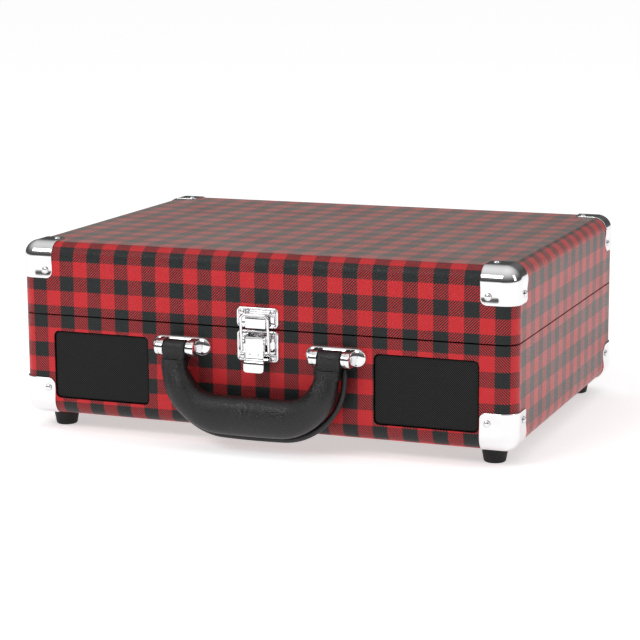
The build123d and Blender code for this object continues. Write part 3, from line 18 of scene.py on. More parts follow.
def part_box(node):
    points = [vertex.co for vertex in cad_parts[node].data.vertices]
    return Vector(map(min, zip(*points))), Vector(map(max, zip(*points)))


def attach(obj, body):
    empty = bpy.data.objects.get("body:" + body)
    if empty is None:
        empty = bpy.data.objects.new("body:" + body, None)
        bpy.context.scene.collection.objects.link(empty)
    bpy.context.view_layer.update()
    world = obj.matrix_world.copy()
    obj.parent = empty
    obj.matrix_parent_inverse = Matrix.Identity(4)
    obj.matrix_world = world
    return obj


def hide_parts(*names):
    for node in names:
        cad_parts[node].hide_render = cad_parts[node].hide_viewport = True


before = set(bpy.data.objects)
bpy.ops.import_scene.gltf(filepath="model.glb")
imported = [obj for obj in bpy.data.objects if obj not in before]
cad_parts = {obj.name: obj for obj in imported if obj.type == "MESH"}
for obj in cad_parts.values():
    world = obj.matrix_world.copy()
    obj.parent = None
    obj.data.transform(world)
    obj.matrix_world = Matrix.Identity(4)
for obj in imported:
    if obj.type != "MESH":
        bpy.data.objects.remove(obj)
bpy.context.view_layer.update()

log = logging.getLogger("record_player")
MM = 0.001
TURN = 2.0 * math.pi
SIDES = (-1, 1)


class Hatch(Enum):
    """Which way the plaid's hatched squares lean."""

    RISING = 1.0
    FALLING = -1.0


class Along(Enum):
    """Axis that a profile is turned or drawn along."""

    X = 0
    Y = 1
    Z = 2


# ---------------------------------------------------------------- meshes
@dataclass
class Surface:
    """Vertices in metres, faces, and a UV for each vertex where a pattern needs one."""

    points: np.ndarray
    faces: list = field(default_factory=list)
    uv: Optional[np.ndarray] = None

    def moved(self, x: float = 0.0, y: float = 0.0, z: float = 0.0) -> "Surface":
        """Returns a copy shifted by x, y and z."""
        return Surface(self.points + np.array([x, y, z]), self.faces, self.uv)

    def turned(self, axis: Along, degrees: float) -> "Surface":
        """Returns a copy turned about one axis through the origin.

        Args:
            axis: the axis.
            degrees: the angle, right-handed.

        Returns:
            The turned surface.
        """
        turn = np.array(Matrix.Rotation(math.radians(degrees), 3, axis.name))
        return Surface(self.points @ turn.T, self.faces, self.uv)


def joined(parts: Iterable[Surface]) -> Surface:
    """Puts several surfaces into one.

    Args:
        parts: the surfaces; either all have a UV or none is kept.

    Returns:
        One surface with all of their faces.
    """
    parts = list(parts)
    starts = np.cumsum([0] + [len(p.points) for p in parts])
    faces = [tuple(int(i) + int(s) for i in f) for p, s in zip(parts, starts) for f in p.faces]
    uv = np.concatenate([p.uv for p in parts]) if all(p.uv is not None for p in parts) else None
    return Surface(np.concatenate([p.points for p in parts]), faces, uv)


def grid_faces(rows: int, cols: int, close_rows: bool = False, close_cols: bool = False) -> list:
    """Quads of a grid whose points are stored row by row.

    Args:
        rows: number of rows.
        cols: number of points in a row.
        close_rows: whether the last row joins the first.
        close_cols: whether the last point of a row joins its first.

    Returns:
        Lists of four indices.
    """
    r = np.arange(rows if close_rows else rows - 1)
    c = np.arange(cols if close_cols else cols - 1)
    rr, cc = np.meshgrid(r, c, indexing="ij")
    r2, c2 = (rr + 1) % rows, (cc + 1) % cols
    quads = np.stack([rr * cols + cc, rr * cols + c2, r2 * cols + c2, r2 * cols + cc], axis=-1)
    return quads.reshape(-1, 4).tolist()


def loft(rings: np.ndarray, cap_start: bool = True, cap_end: bool = True) -> Surface:
    """Skin over a stack of closed rings of points.

    Args:
        rings: array of rings by points by 3.
        cap_start: whether a flat face closes the first ring.
        cap_end: whether a flat face closes the last ring.

    Returns:
        The skin.
    """
    count, size, _ = rings.shape
    faces = grid_faces(count, size, close_cols=True)
    if cap_start:
        faces.append(list(range(size))[::-1])
    if cap_end:
        faces.append([(count - 1) * size + i for i in range(size)])
    return Surface(rings.reshape(-1, 3), faces)


def rounded_outline(width: float, height: float, radius: float, steps: int = 8) -> np.ndarray:
    """Closed outline of a rectangle with round corners, about its centre.

    Each corner is a quarter circle: its centre plus the radius times the cosine
    and sine of an angle that runs through a quarter turn.
    """
    radius = max(min(radius, width / 2, height / 2), 0.0)
    quarter = np.linspace(0, math.pi / 2, steps + 1)
    found = []
    for index, (sx, sy) in enumerate(((1, 1), (-1, 1), (-1, -1), (1, -1))):
        angle = quarter + index * math.pi / 2
        found.append(np.stack([
            sx * (width / 2 - radius) + radius * np.cos(angle),
            sy * (height / 2 - radius) + radius * np.sin(angle),
        ], axis=1))
    return np.concatenate(found)


def plate(width: float, height: float, radius: float, profile: Sequence, steps: int = 8) -> Surface:
    """Plate lying in X and Z and standing towards -Y.

    Every ring is the outline pulled in by the profile's first number and lifted
    off the face by its second, so the profile is the plate's section.

    Args:
        width: size along X.
        height: size along Z.
        radius: corner radius.
        profile: pairs of inset and lift, from the outer edge to the middle.
        steps: segments in each corner.

    Returns:
        A closed surface about the origin.
    """
    rings = []
    for inset, lift in profile:
        ring = rounded_outline(width - 2 * inset, height - 2 * inset, radius - inset, steps)
        rings.append(np.stack([ring[:, 0], np.full(len(ring), -lift), ring[:, 1]], axis=1))
    return loft(np.array(rings))


def lathe(profile: Sequence, axis: Along = Along.Z, segments: int = 40, ring: bool = False) -> Surface:
    """Turns a profile about an axis through the origin.

    A point is the radius times the cosine and sine of the turn, and the height along the axis.

    Args:
        profile: pairs of radius and height; where the radius is zero the surface closes.
        axis: the axis.
        segments: steps round the axis.
        ring: whether the profile is a loop, so that the piece has a hole.

    Returns:
        A closed surface.
    """
    turn = np.linspace(0, TURN, segments, endpoint=False)
    pairs = np.array(profile, dtype=float)
    radius = np.maximum(pairs[:, 0], 1e-6)[:, None]
    height = np.repeat(pairs[:, 1][:, None], segments, axis=1)
    a, b = radius * np.cos(turn), radius * np.sin(turn)
    order = {Along.X: (height, a, b), Along.Y: (b, height, a), Along.Z: (a, b, height)}[axis]
    rings = np.stack(order, axis=-1)
    if ring:
        return Surface(rings.reshape(-1, 3), grid_faces(len(pairs), segments, True, True))
    return loft(rings)


def rounded_profile(radius: float, low: float, high: float, edge: float, steps: int = 5) -> list:
    """Profile of a disc or rod whose two rims are rounded by quarter circles."""
    quarter = np.linspace(0, math.pi / 2, steps + 1)
    lower = [(radius - edge + edge * math.sin(q), low + edge - edge * math.cos(q)) for q in quarter]
    upper = [(radius - edge + edge * math.cos(q), high - edge + edge * math.sin(q)) for q in quarter]
    return [(0.0, low)] + lower + upper + [(0.0, high)]


def smooth_path(points: Sequence, samples: int) -> np.ndarray:
    """Even samples along a Catmull-Rom curve through the points."""
    p = np.array(points, dtype=float)
    p = np.vstack([2 * p[0] - p[1], p, 2 * p[-1] - p[-2]])
    spans = len(p) - 3
    t = np.linspace(0, spans - 1e-9, samples)
    i = t.astype(int)
    f = (t - i)[:, None]
    a, b, c, d = p[i], p[i + 1], p[i + 2], p[i + 3]
    return 0.5 * (2 * b + (c - a) * f + (2 * a - 5 * b + 4 * c - d) * f**2 + (3 * b - a - 3 * c + d) * f**3)


def tube(path: np.ndarray, radius, segments: int = 12, flat: float = 1.0, up=(0.0, 1.0, 0.0)) -> Surface:
    """Carries a circle or ellipse along a path.

    A ring is the path's point plus the radius times cosine along the side
    direction and sine along the up direction, both square to the path.

    Args:
        path: points along the middle.
        radius: one radius, or one for each point.
        segments: points round the ring.
        flat: radius along up over the other radius.
        up: direction that stays closest to the ring's second axis.

    Returns:
        A closed tube.
    """
    tangent = np.gradient(path, axis=0)
    tangent /= np.linalg.norm(tangent, axis=1)[:, None]
    side = np.cross(tangent, np.array(up))
    side /= np.linalg.norm(side, axis=1)[:, None]
    top = np.cross(side, tangent)
    turn = np.linspace(0, TURN, segments, endpoint=False)
    size = np.broadcast_to(np.asarray(radius, dtype=float), (len(path),))[:, None, None]
    ring = np.cos(turn)[None, :, None] * side[:, None] + flat * np.sin(turn)[None, :, None] * top[:, None]
    return loft(path[:, None] + size * ring)


def drawn(outline: Callable[[float], np.ndarray], profile: Sequence, axis: Along = Along.X) -> Surface:
    """Draws an outline along X, pulled in by a profile.

    Args:
        outline: gives the Y and Z of the outline for an inset.
        profile: pairs of inset and place along X.
        axis: not used; every piece is drawn along X.

    Returns:
        A closed surface.
    """
    rings = []
    for inset, place in profile:
        ring = outline(inset)
        rings.append(np.stack([np.full(len(ring), place), ring[:, 0], ring[:, 1]], axis=1))
    return loft(np.array(rings))


def edge_profile(low: float, high: float, edge: float, steps: int = 3) -> list:
    """Inset and place pairs of a bar with both rims rounded, closed at both ends."""
    quarter = np.linspace(0, math.pi / 2, steps + 1)
    first = [(edge * (1 - math.sin(q)), low + edge * (1 - math.cos(q))) for q in quarter]
    last = [(edge * (1 - math.cos(q)), high - edge * (1 - math.sin(q))) for q in quarter]
    return first + last


def slab(low: Sequence[float], high: Sequence[float], edge: float, corner: float = 0.0, steps: int = 3) -> Surface:
    """Block between two corners, its upright edges rounded by corner and its rims by edge."""
    low, high = np.array(low, float), np.array(high, float)
    width, depth, _ = high - low
    mid = (low + high) / 2
    rings = []
    for inset, z in edge_profile(low[2], high[2], edge, steps):
        ring = rounded_outline(width - 2 * inset, depth - 2 * inset, max(corner, edge) - inset, 4)
        rings.append(np.stack([ring[:, 0] + mid[0], ring[:, 1] + mid[1], np.full(len(ring), z)], axis=1))
    return loft(np.array(rings))


def piece(name: str, surface: Surface, finish: bpy.types.Material, body: str, *nodes: str,
          smooth: float = 40.0, slot: Optional[str] = None) -> bpy.types.Object:
    """Makes a surface an object of the scene that rides on a body.

    Args:
        name: the piece's name.
        surface: its mesh.
        finish: its material.
        body: the body that it rides on.
        nodes: CAD nodes that it stands for.
        smooth: edges sharper than this many degrees stay crisp.
        slot: the record's material slot; not used.

    Returns:
        The object.
    """
    mesh = bpy.data.meshes.new(name)
    mesh.from_pydata(surface.points.tolist(), [], surface.faces)
    if surface.uv is not None:
        layer = mesh.uv_layers.new(name="weave")
        corner = np.zeros(len(mesh.loops), dtype=np.int32)
        mesh.loops.foreach_get("vertex_index", corner)
        layer.data.foreach_set("uv", surface.uv[corner].astype(np.float32).ravel())
    tidy(mesh)
    mesh.materials.append(finish)
    mesh.polygons.foreach_set("use_smooth", np.ones(len(mesh.polygons), dtype=bool))
    mesh.set_sharp_from_angle(angle=math.radians(smooth))
    obj = bpy.data.objects.new(name, mesh)
    bpy.context.scene.collection.objects.link(obj)
    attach(obj, body)
    if nodes:
        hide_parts(*nodes)
    log.info("%s: %d faces on %s", name, len(mesh.polygons), body)
    return obj


def tidy(mesh: bpy.types.Mesh) -> None:
    """Merges doubled points, drops empty faces and turns the faces outwards."""
    work = bmesh.new()
    work.from_mesh(mesh)
    bmesh.ops.remove_doubles(work, verts=work.verts, dist=2e-6)
    bmesh.ops.dissolve_degenerate(work, edges=work.edges, dist=1e-7)
    bmesh.ops.recalc_face_normals(work, faces=work.faces)
    work.to_mesh(mesh)
    work.free()


def bevel(obj: bpy.types.Object, width: float, segments: int = 2, angle: float = 35.0) -> None:
    """Rounds an object's sharp edges with a live modifier."""
    mod = obj.modifiers.new("rounded", "BEVEL")
    mod.width, mod.segments, mod.limit_method = width, segments, "ANGLE"
    mod.angle_limit = math.radians(angle)
    mod.harden_normals = False


# ---------------------------------------------------------------- finishes
class Nodes:
    """Short way to build a material's node tree."""

    def __init__(self, name: str) -> None:
        """Starts an empty tree with a Principled shader."""
        self.material = bpy.data.materials.new(name)
        self.material.use_nodes = True
        self.tree = self.material.node_tree
        self.tree.nodes.clear()
        self.shader = self.tree.nodes.new("ShaderNodeBsdfPrincipled")
        out = self.tree.nodes.new("ShaderNodeOutputMaterial")
        self.tree.links.new(self.shader.outputs[0], out.inputs[0])

    def set(self, **values) -> "Nodes":
        """Sets the shader's own sockets, with _ for a space in their names."""
        for key, value in values.items():
            self.shader.inputs[key.replace("_", " ")].default_value = value
        return self

    def feed(self, socket, value) -> None:
        """Links an output to a socket, or sets the socket's number."""
        if isinstance(value, bpy.types.NodeSocket):
            self.tree.links.new(value, socket)
        elif value is not None:
            socket.default_value = value

    def to_shader(self, name: str, value) -> None:
        """Feeds one socket of the shader."""
        self.feed(self.shader.inputs[name], value)

    def place(self):
        """Object coordinates in metres."""
        return self.tree.nodes.new("ShaderNodeTexCoord").outputs["Object"]

    def weave(self):
        """The piece's own UV, in metres along the cloth."""
        node = self.tree.nodes.new("ShaderNodeUVMap")
        node.uv_map = "weave"
        return node.outputs[0]

    def split(self, vector):
        """X, Y and Z of a vector."""
        node = self.tree.nodes.new("ShaderNodeSeparateXYZ")
        self.feed(node.inputs[0], vector)
        return node.outputs[0], node.outputs[1], node.outputs[2]

    def bring(self, x, y, z):
        """Vector of three numbers."""
        node = self.tree.nodes.new("ShaderNodeCombineXYZ")
        for socket, value in zip(node.inputs, (x, y, z)):
            self.feed(socket, value)
        return node.outputs[0]

    def math(self, kind: str, a, b=None, c=None):
        """One Math node."""
        node = self.tree.nodes.new("ShaderNodeMath")
        node.operation = kind
        for socket, value in zip(node.inputs, (a, b, c)):
            self.feed(socket, value)
        return node.outputs[0]

    def ramp(self, value, low: float, high: float, to_low: float = 0.0, to_high: float = 1.0):
        """Smooth step of a number from one range to another."""
        node = self.tree.nodes.new("ShaderNodeMapRange")
        node.interpolation_type = "SMOOTHSTEP"
        for socket, number in zip(node.inputs, (value, low, high, to_low, to_high)):
            self.feed(socket, number)
        return node.outputs[0]

    def mix(self, share, a, b):
        """Blend of two colours."""
        node = self.tree.nodes.new("ShaderNodeMix")
        node.data_type = "RGBA"
        self.feed(node.inputs[0], share)
        for socket, value in ((node.inputs[6], a), (node.inputs[7], b)):
            self.feed(socket, (*value, 1.0) if isinstance(value, tuple) and len(value) == 3 else value)
        return node.outputs[2]

    def noise(self, vector, scale: float, detail: float = 3.0, rough: float = 0.55):
        """Noise between 0 and 1."""
        node = self.tree.nodes.new("ShaderNodeTexNoise")
        for name, value in (("Vector", vector), ("Scale", scale), ("Detail", detail), ("Roughness", rough)):
            self.feed(node.inputs[name], value)
        return node.outputs["Fac"]

    def cells(self, vector, scale: float, feature: str = "DISTANCE_TO_EDGE"):
        """Voronoi distance."""
        node = self.tree.nodes.new("ShaderNodeTexVoronoi")
        node.feature = feature
        self.feed(node.inputs["Vector"], vector)
        self.feed(node.inputs["Scale"], scale)
        return node.outputs["Distance"]

    def bump(self, height, depth: float, strength: float = 1.0, after=None):
        """Bump of a height between 0 and 1, its depth in metres; feeds the shader's normal."""
        node = self.tree.nodes.new("ShaderNodeBump")
        node.inputs["Strength"].default_value = strength
        node.inputs["Distance"].default_value = depth
        self.feed(node.inputs["Height"], height)
        if after is not None:
            self.feed(node.inputs["Normal"], after)
        self.to_shader("Normal", node.outputs[0])
        return node.outputs[0]


@dataclass(frozen=True)
class PlaidLeatherette:
    """Grained leatherette printed with a red and black check; mixed squares are hatched, and a pale painted sheen
    greys the top and the sides.
    """

    hatch: Hatch
    period: float = 20.735 * MM
    hatch_period: float = 1.885 * MM
    red: tuple = (0.60, 0.014, 0.020)
    black: tuple = (0.006, 0.009, 0.009)
    # painted sheen: pale grey that the top and sides are blended towards, standing for the room's reflection at a
    # grazing view
    haze: tuple = (0.48, 0.47, 0.43)

    def build(self) -> bpy.types.Material:
        """Check: the sign of two sine waves along the cloth's two ways; the hatch is a third at 45 degrees."""
        n = Nodes("plaid_leatherette_" + self.hatch.name.lower())
        u, v, _ = n.split(n.weave())
        place = n.place()
        wobble = n.math("MULTIPLY", n.math("SUBTRACT", n.noise(place, 900.0, 2.0), 0.5), 0.00035)

        def stripes(where, period: float, soft: float, share: float = 0.0):
            wave = n.math("SINE", n.math("MULTIPLY", n.math("ADD", where, wobble), TURN / period))
            return n.ramp(wave, share - soft, share + soft)

        column = stripes(u, self.period, 0.06)
        row = stripes(v, self.period, 0.06)
        slant = n.math("ADD", u, n.math("MULTIPLY", v, -self.hatch.value))
        line = stripes(slant, self.hatch_period, 0.12, 0.32)
        both = n.math("MULTIPLY", column, row)
        one = n.math("SUBTRACT", n.math("ADD", column, row), n.math("MULTIPLY", both, 2.0))
        share = n.math("ADD", both, n.math("MULTIPLY", one, line))
        wide = n.noise(place, 28.0, 2.0)
        fine = n.noise(place, 1500.0, 2.0)
        red = n.mix(fine, tuple(c * 0.80 for c in self.red), tuple(min(1.0, c * 1.18 + 0.004) for c in self.red))
        black = n.mix(fine, tuple(c * 0.6 for c in self.black), tuple(c * 1.9 for c in self.black))
        colour = n.mix(share, black, red)
        # painted sheen: the colour is blended towards the pale grey by the share that the covering carries on its top
        # and sides
        sheen_share = n.tree.nodes.new("ShaderNodeAttribute")
        sheen_share.attribute_name = "haze"
        n.to_shader("Base Color", n.mix(n.math("MULTIPLY", sheen_share.outputs["Fac"], n.ramp(wide, 0.2, 0.8, 0.9, 1.1)), colour, self.haze))
        grain = n.cells(place, 1250.0)
        pores = n.ramp(grain, 0.0, 0.32)
        n.to_shader("Roughness", n.ramp(n.math("ADD", fine, wide), 0.6, 1.5, 0.34, 0.50))
        n.bump(n.math("ADD", pores, n.math("MULTIPLY", fine, 0.4)), 0.00011, 0.75)
        n.set(Specular_IOR_Level=0.34)
        return n.material


@dataclass(frozen=True)
class GrainedLeatherette:
    """Plain leatherette with a pebbled grain."""

    name: str
    colour: tuple
    roughness: float = 0.42
    grain: float = 1000.0

    def build(self) -> bpy.types.Material:
        """Pebbles between cell edges, with a wider unevenness of colour and gloss."""
        n = Nodes(self.name)
        place = n.place()
        pebble = n.ramp(n.cells(place, self.grain), 0.0, 0.35)
        wide = n.noise(place, 60.0, 3.0)
        dark = tuple(c * 0.55 for c in self.colour)
        n.to_shader("Base Color", n.mix(n.math("MULTIPLY", pebble, n.ramp(wide, 0.2, 0.8, 0.7, 1.0)), dark, self.colour))
        n.to_shader("Roughness", n.ramp(wide, 0.25, 0.75, self.roughness - 0.06, self.roughness + 0.08))
        n.bump(n.math("ADD", pebble, n.math("MULTIPLY", n.noise(place, 2600.0, 2.0), 0.5)), 0.00014, 0.8)
        n.set(Specular_IOR_Level=0.5)
        return n.material


@dataclass(frozen=True)
class Metal:
    """Plated or bare metal."""

    name: str
    colour: tuple
    roughness: float
    uneven: float = 0.03
    brushed: bool = False

    def build(self) -> bpy.types.Material:
        """Metal whose gloss varies with handling marks, and with brushed lines where it has them."""
        n = Nodes(self.name)
        place = n.place()
        smear = n.noise(place, 90.0, 4.0)
        n.to_shader("Roughness", n.ramp(smear, 0.3, 0.75, self.roughness, self.roughness + self.uneven))
        n.to_shader("Base Color", n.mix(smear, self.colour, tuple(c * 0.93 for c in self.colour)))
        if self.brushed:
            x, y, z = n.split(place)
            lines = n.noise(n.bring(n.math("MULTIPLY", x, 60.0), n.math("MULTIPLY", y, 3000.0), n.math("MULTIPLY", z, 3000.0)), 1.0, 2.0)
            n.bump(lines, 0.00003, 0.5)
        else:
            n.bump(n.noise(place, 160.0, 2.0), 0.00006, 0.35)
        n.set(Metallic=1.0)
        return n.material


@dataclass(frozen=True)
class Moulded:
    """Moulded plastic or rubber with a fine spark-eroded texture."""

    name: str
    colour: tuple
    roughness: float
    texture: float = 1400.0
    depth: float = 0.00004
    shine: float = 0.3

    def build(self) -> bpy.types.Material:
        """Fine texture bump and a slow drift of the gloss."""
        n = Nodes(self.name)
        place = n.place()
        fine = n.noise(place, self.texture, 3.0)
        wide = n.noise(place, 35.0, 2.0)
        n.to_shader("Base Color", n.mix(wide, tuple(c * 0.8 for c in self.colour), tuple(min(1.0, c * 1.25) for c in self.colour)))
        n.to_shader("Roughness", n.ramp(wide, 0.2, 0.8, self.roughness - 0.05, self.roughness + 0.06))
        n.bump(fine, self.depth, 0.7)
        n.set(Specular_IOR_Level=self.shine)
        return n.material


@dataclass(frozen=True)
class GrilleCloth:
    """Black woven speaker cloth."""

    thread: float = 1.5 * MM
    colour: tuple = (0.008, 0.008, 0.008)

    def build(self) -> bpy.types.Material:
        """Plain weave: over and under threads from the product of two sine waves; the over threads are painted five
        times lighter as a painted highlight.
        """
        n = Nodes("grille_cloth")
        x, y, z = n.split(n.place())
        a = n.math("SINE", n.math("MULTIPLY", x, TURN / self.thread))
        b = n.math("SINE", n.math("MULTIPLY", z, TURN / self.thread))
        over = n.ramp(n.math("MULTIPLY", a, b), -0.7, 0.9)
        # painted highlight: the raised over threads get a lighter grey, standing for the light they catch
        light = tuple(c * 5.0 for c in self.colour)
        n.to_shader("Base Color", n.mix(over, self.colour, light))
        n.bump(over, 0.00016, 0.8)
        n.set(Roughness=0.62, Specular_IOR_Level=0.06)
        return n.material


@dataclass(frozen=True)
class Pile:
    """Felt or velour."""

    name: str
    colour: tuple
    fibre: float = 2200.0

    def build(self) -> bpy.types.Material:
        """Short fibres as stretched noise, with a soft edge sheen."""
        n = Nodes(self.name)
        place = n.place()
        fibre = n.noise(place, self.fibre, 4.0, 0.7)
        wide = n.noise(place, 22.0, 3.0)
        n.to_shader("Base Color", n.mix(n.math("MULTIPLY", fibre, n.ramp(wide, 0.2, 0.8, 0.6, 1.0)),
                                        tuple(c * 0.5 for c in self.colour), tuple(c * 1.8 for c in self.colour)))
        n.bump(fibre, 0.0003, 0.8)
        n.set(Roughness=0.9, Sheen_Weight=0.35, Sheen_Roughness=0.5)
        return n.material


class Palette:
    """Every finish of the object, built once."""

    def __init__(self) -> None:
        """Builds the materials."""
        self.plaid = {h: PlaidLeatherette(h).build() for h in Hatch}
        self.handle = GrainedLeatherette("handle_leatherette", (0.007, 0.007, 0.008), 0.34, 900.0).build()
        self.chrome = Metal("chrome", (0.86, 0.86, 0.87), 0.05, 0.05).build()
        self.chrome_soft = Metal("chrome_soft", (0.84, 0.84, 0.85), 0.16, 0.08).build()
        self.nickel = Metal("nickel_steel", (0.66, 0.66, 0.67), 0.26, 0.08, True).build()
        self.satin = Metal("tonearm_metal", (0.78, 0.78, 0.80), 0.22, 0.06).build()
        self.brass = Metal("brass", (0.72, 0.55, 0.27), 0.25, 0.08).build()
        self.rubber = Moulded("black_rubber", (0.014, 0.014, 0.014), 0.60, 900.0, 0.00006).build()
        self.cloth = GrilleCloth().build()
        self.velour = Pile("velour", (0.018, 0.018, 0.020)).build()
        self.felt = Pile("felt", (0.022, 0.022, 0.023), 1600.0).build()
        self.deck = Moulded("deck_plastic", (0.016, 0.016, 0.017), 0.45, 1500.0, 0.00008).build()
        self.gloss = Moulded("knob_plastic", (0.018, 0.018, 0.019), 0.22, 300.0, 0.00001).build()
        self.red = Moulded("stylus_red", (0.55, 0.02, 0.02), 0.25, 300.0, 0.00001).build()
        self.board = Moulded("board_green", (0.02, 0.14, 0.05), 0.40, 500.0, 0.00002).build()
        # painted shade: the case shells are coloured near black so that the seam gap between lid and base and the rims
        # of the grille pockets read dark
        self.gap_shade_board = Moulded("case_board", (0.012, 0.011, 0.010), 0.75, 400.0, 0.00010, 0.1).build()
        self.paint = Moulded("weight_metal", (0.03, 0.03, 0.03), 0.30, 500.0, 0.00002).build()
        self.floor = self.studio_floor()

    @staticmethod
    def studio_floor() -> bpy.types.Material:
        """Pale matt floor."""
        n = Nodes("studio_floor")
        n.set(Base_Color=(0.90, 0.90, 0.90, 1.0), Roughness=0.9, Emission_Color=(1.0, 1.0, 1.0, 1.0), Emission_Strength=0.50)
        n.set(Specular_IOR_Level=0.1)
        return n.material


# ---------------------------------------------------------------- case
@dataclass
class Case:
    """The case's outer form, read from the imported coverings."""

    edge: float = 10.0 * MM
    skin: float = 7.7 * MM
    seam_drop: float = 11.5 * MM

    def __post_init__(self) -> None:
        """Reads the boxes of the two halves."""
        self.lid_low, self.lid_high = (np.array(v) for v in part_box("lid_covering"))
        self.base_low, self.base_high = (np.array(v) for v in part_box("base_covering"))
        self.front, self.back = float(self.lid_low[1]), float(self.lid_high[1])
        self.half = float(self.lid_high[0])
        self.mid_y = (self.front + self.back) / 2


@dataclass
class PlaidMap:
    """Where the printed check falls on the case: places of one red stripe's middle, in metres."""

    front_column: float = -131.93 * MM
    side_column: float = -81.35 * MM
    front_row: float = 82.4 * MM
    side_row: float = 75.3 * MM
    top_column: float = -134.8 * MM
    top_row: float = 113.88 * MM
    skew: float = 0.0
    period: float = 20.735 * MM
    # shares of painted sheen on the sides and on the top; the front and back get none
    side_painted_sheen: float = 0.20
    top_painted_sheen: float = 0.40

    def unfold(self, case: Case, points: np.ndarray, middle: np.ndarray, normal: np.ndarray) -> np.ndarray:
        """Lays each face's corners out flat on the sheet that the face belongs to.

        Along a rounded edge of radius R the way is R times the angle from the
        start of the edge.  The front and back sheets reach round their edges;
        one long sheet covers the left side, the top and the right side.

        Args:
            case: the case.
            points: corners by 3, in metres.
            middle: the middle of the face of each corner.
            normal: the normal of the face of each corner.

        Returns:
            UV of each corner, with zero a quarter wave before a red stripe's middle, and as a third number the share
            of painted sheen: none on the front and back, more on the top than on the sides.
        """
        r = case.edge
        x, y, z = points.T
        bottom, top = case.base_low[2], case.lid_high[2]

        def wrapped(value: np.ndarray, low: float, high: float, depth: np.ndarray) -> np.ndarray:
            over = np.arctan2(np.clip(value - (high - r), 0, None), np.clip(r - depth, 1e-6, None)) * r
            under = np.arctan2(np.clip(low + r - value, 0, None), np.clip(r - depth, 1e-6, None)) * r
            return np.clip(value, low + r, high - r) + over - under

        front_depth = np.minimum(y - case.front, case.back - y)
        side_depth = case.half - np.abs(x)
        u_front = wrapped(x, -case.half, case.half, front_depth) - self.front_column
        v_front = wrapped(z, bottom, top, front_depth) - case.seam_drop - self.front_row - self.skew * x
        s_side = wrapped(z, bottom, top, side_depth)
        on_top = (np.abs(normal[:, 2]) > 0.995) & (middle[:, 2] > top - r)
        v_side = np.where(on_top, x - self.top_column, s_side - case.seam_drop - self.side_row)
        u_side = y - case.mid_y - np.where(on_top, self.top_row, self.side_column)
        front = (middle[:, 1] < case.front + r * 0.999) | (middle[:, 1] > case.back - r * 0.999)
        quarter = self.period / 4
        u = np.where(front, u_front, u_side) + quarter
        v = np.where(front, v_front, v_side) + quarter
        # painted sheen: the top and sides get their share, the front and back none
        haze = np.where(front, 0.0, np.where(on_top, self.top_painted_sheen, self.side_painted_sheen))
        return np.stack([u, v, haze], axis=1)


def merged_copy(node: str, name: str, finish: bpy.types.Material) -> bpy.types.Mesh:
    """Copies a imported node's mesh into the row frame with its doubled points merged.

    Args:
        node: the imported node.
        name: the new mesh's name.
        finish: its material.

    Returns:
        The mesh, without its UVs.
    """
    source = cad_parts[node]
    mesh = source.data.copy()
    mesh.name = name
    mesh.transform(source.matrix_world)
    work = bmesh.new()
    work.from_mesh(mesh)
    bmesh.ops.remove_doubles(work, verts=work.verts, dist=1e-6)
    work.to_mesh(mesh)
    work.free()
    mesh.materials.clear()
    mesh.materials.append(finish)
    while mesh.uv_layers:
        mesh.uv_layers.remove(mesh.uv_layers[0])
    mesh.polygons.foreach_set("use_smooth", np.ones(len(mesh.polygons), dtype=bool))
    mesh.set_sharp_from_angle(angle=math.radians(40))
    return mesh


def shown(mesh: bpy.types.Mesh, body: str, node: str) -> bpy.types.Object:
    """Puts a merged copy in the scene in place of its node.

    Args:
        mesh: the copy.
        body: the body that it rides on.
        node: the node that it stands for.

    Returns:
        The object, with face-weighted normals.
    """
    obj = bpy.data.objects.new(mesh.name, mesh)
    bpy.context.scene.collection.objects.link(obj)
    weight = obj.modifiers.new("face_weights", "WEIGHTED_NORMAL")
    weight.keep_sharp = True
    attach(obj, body)
    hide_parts(node)
    log.info("%s: %d faces on %s", mesh.name, len(mesh.polygons), body)
    return obj


class Coverings:
    """The two leatherette coverings, each a merged copy of its packed skin with the check laid on it."""

    def __init__(self, case: Case, palette: Palette) -> None:
        """Keeps the case and the finishes."""
        self.case, self.palette = case, palette

    def cover(self, node: str, body: str, hatch: Hatch, plan: PlaidMap) -> bpy.types.Object:
        """Makes one covering.

        Args:
            node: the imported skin.
            body: the body that it rides on.
            hatch: lean of the hatched squares.
            plan: where the check falls.

        Returns:
            The covering.
        """
        mesh = merged_copy(node, node + "_leather", self.palette.plaid[hatch])
        layer = mesh.uv_layers.new(name="weave")
        points = np.zeros(len(mesh.vertices) * 3)
        mesh.vertices.foreach_get("co", points)
        corner = np.zeros(len(mesh.loops), dtype=np.int32)
        mesh.loops.foreach_get("vertex_index", corner)
        count = np.zeros(len(mesh.polygons), dtype=np.int32)
        mesh.polygons.foreach_get("loop_total", count)
        middle = np.zeros(len(mesh.polygons) * 3)
        mesh.polygons.foreach_get("center", middle)
        normal = np.zeros(len(mesh.polygons) * 3)
        mesh.polygons.foreach_get("normal", normal)
        spread = np.repeat(np.arange(len(count)), count)
        uv = plan.unfold(self.case, points.reshape(-1, 3)[corner], middle.reshape(-1, 3)[spread], normal.reshape(-1, 3)[spread])
        layer.data.foreach_set("uv", uv[:, :2].astype(np.float32).ravel())
        # share of painted sheen for each corner, read by the plaid finish
        haze = mesh.attributes.new("haze", "FLOAT", "CORNER")
        haze.data.foreach_set("value", uv[:, 2].astype(np.float32))
        return shown(mesh, body, node)

    def build(self) -> None:
        """Makes both coverings."""
        self.cover("lid_covering", "lid", Hatch.RISING, PlaidMap())
        self.cover("base_covering", "base", Hatch.FALLING,
                   PlaidMap(front_row=57.2 * MM, side_row=49.0 * MM, skew=0.0055))


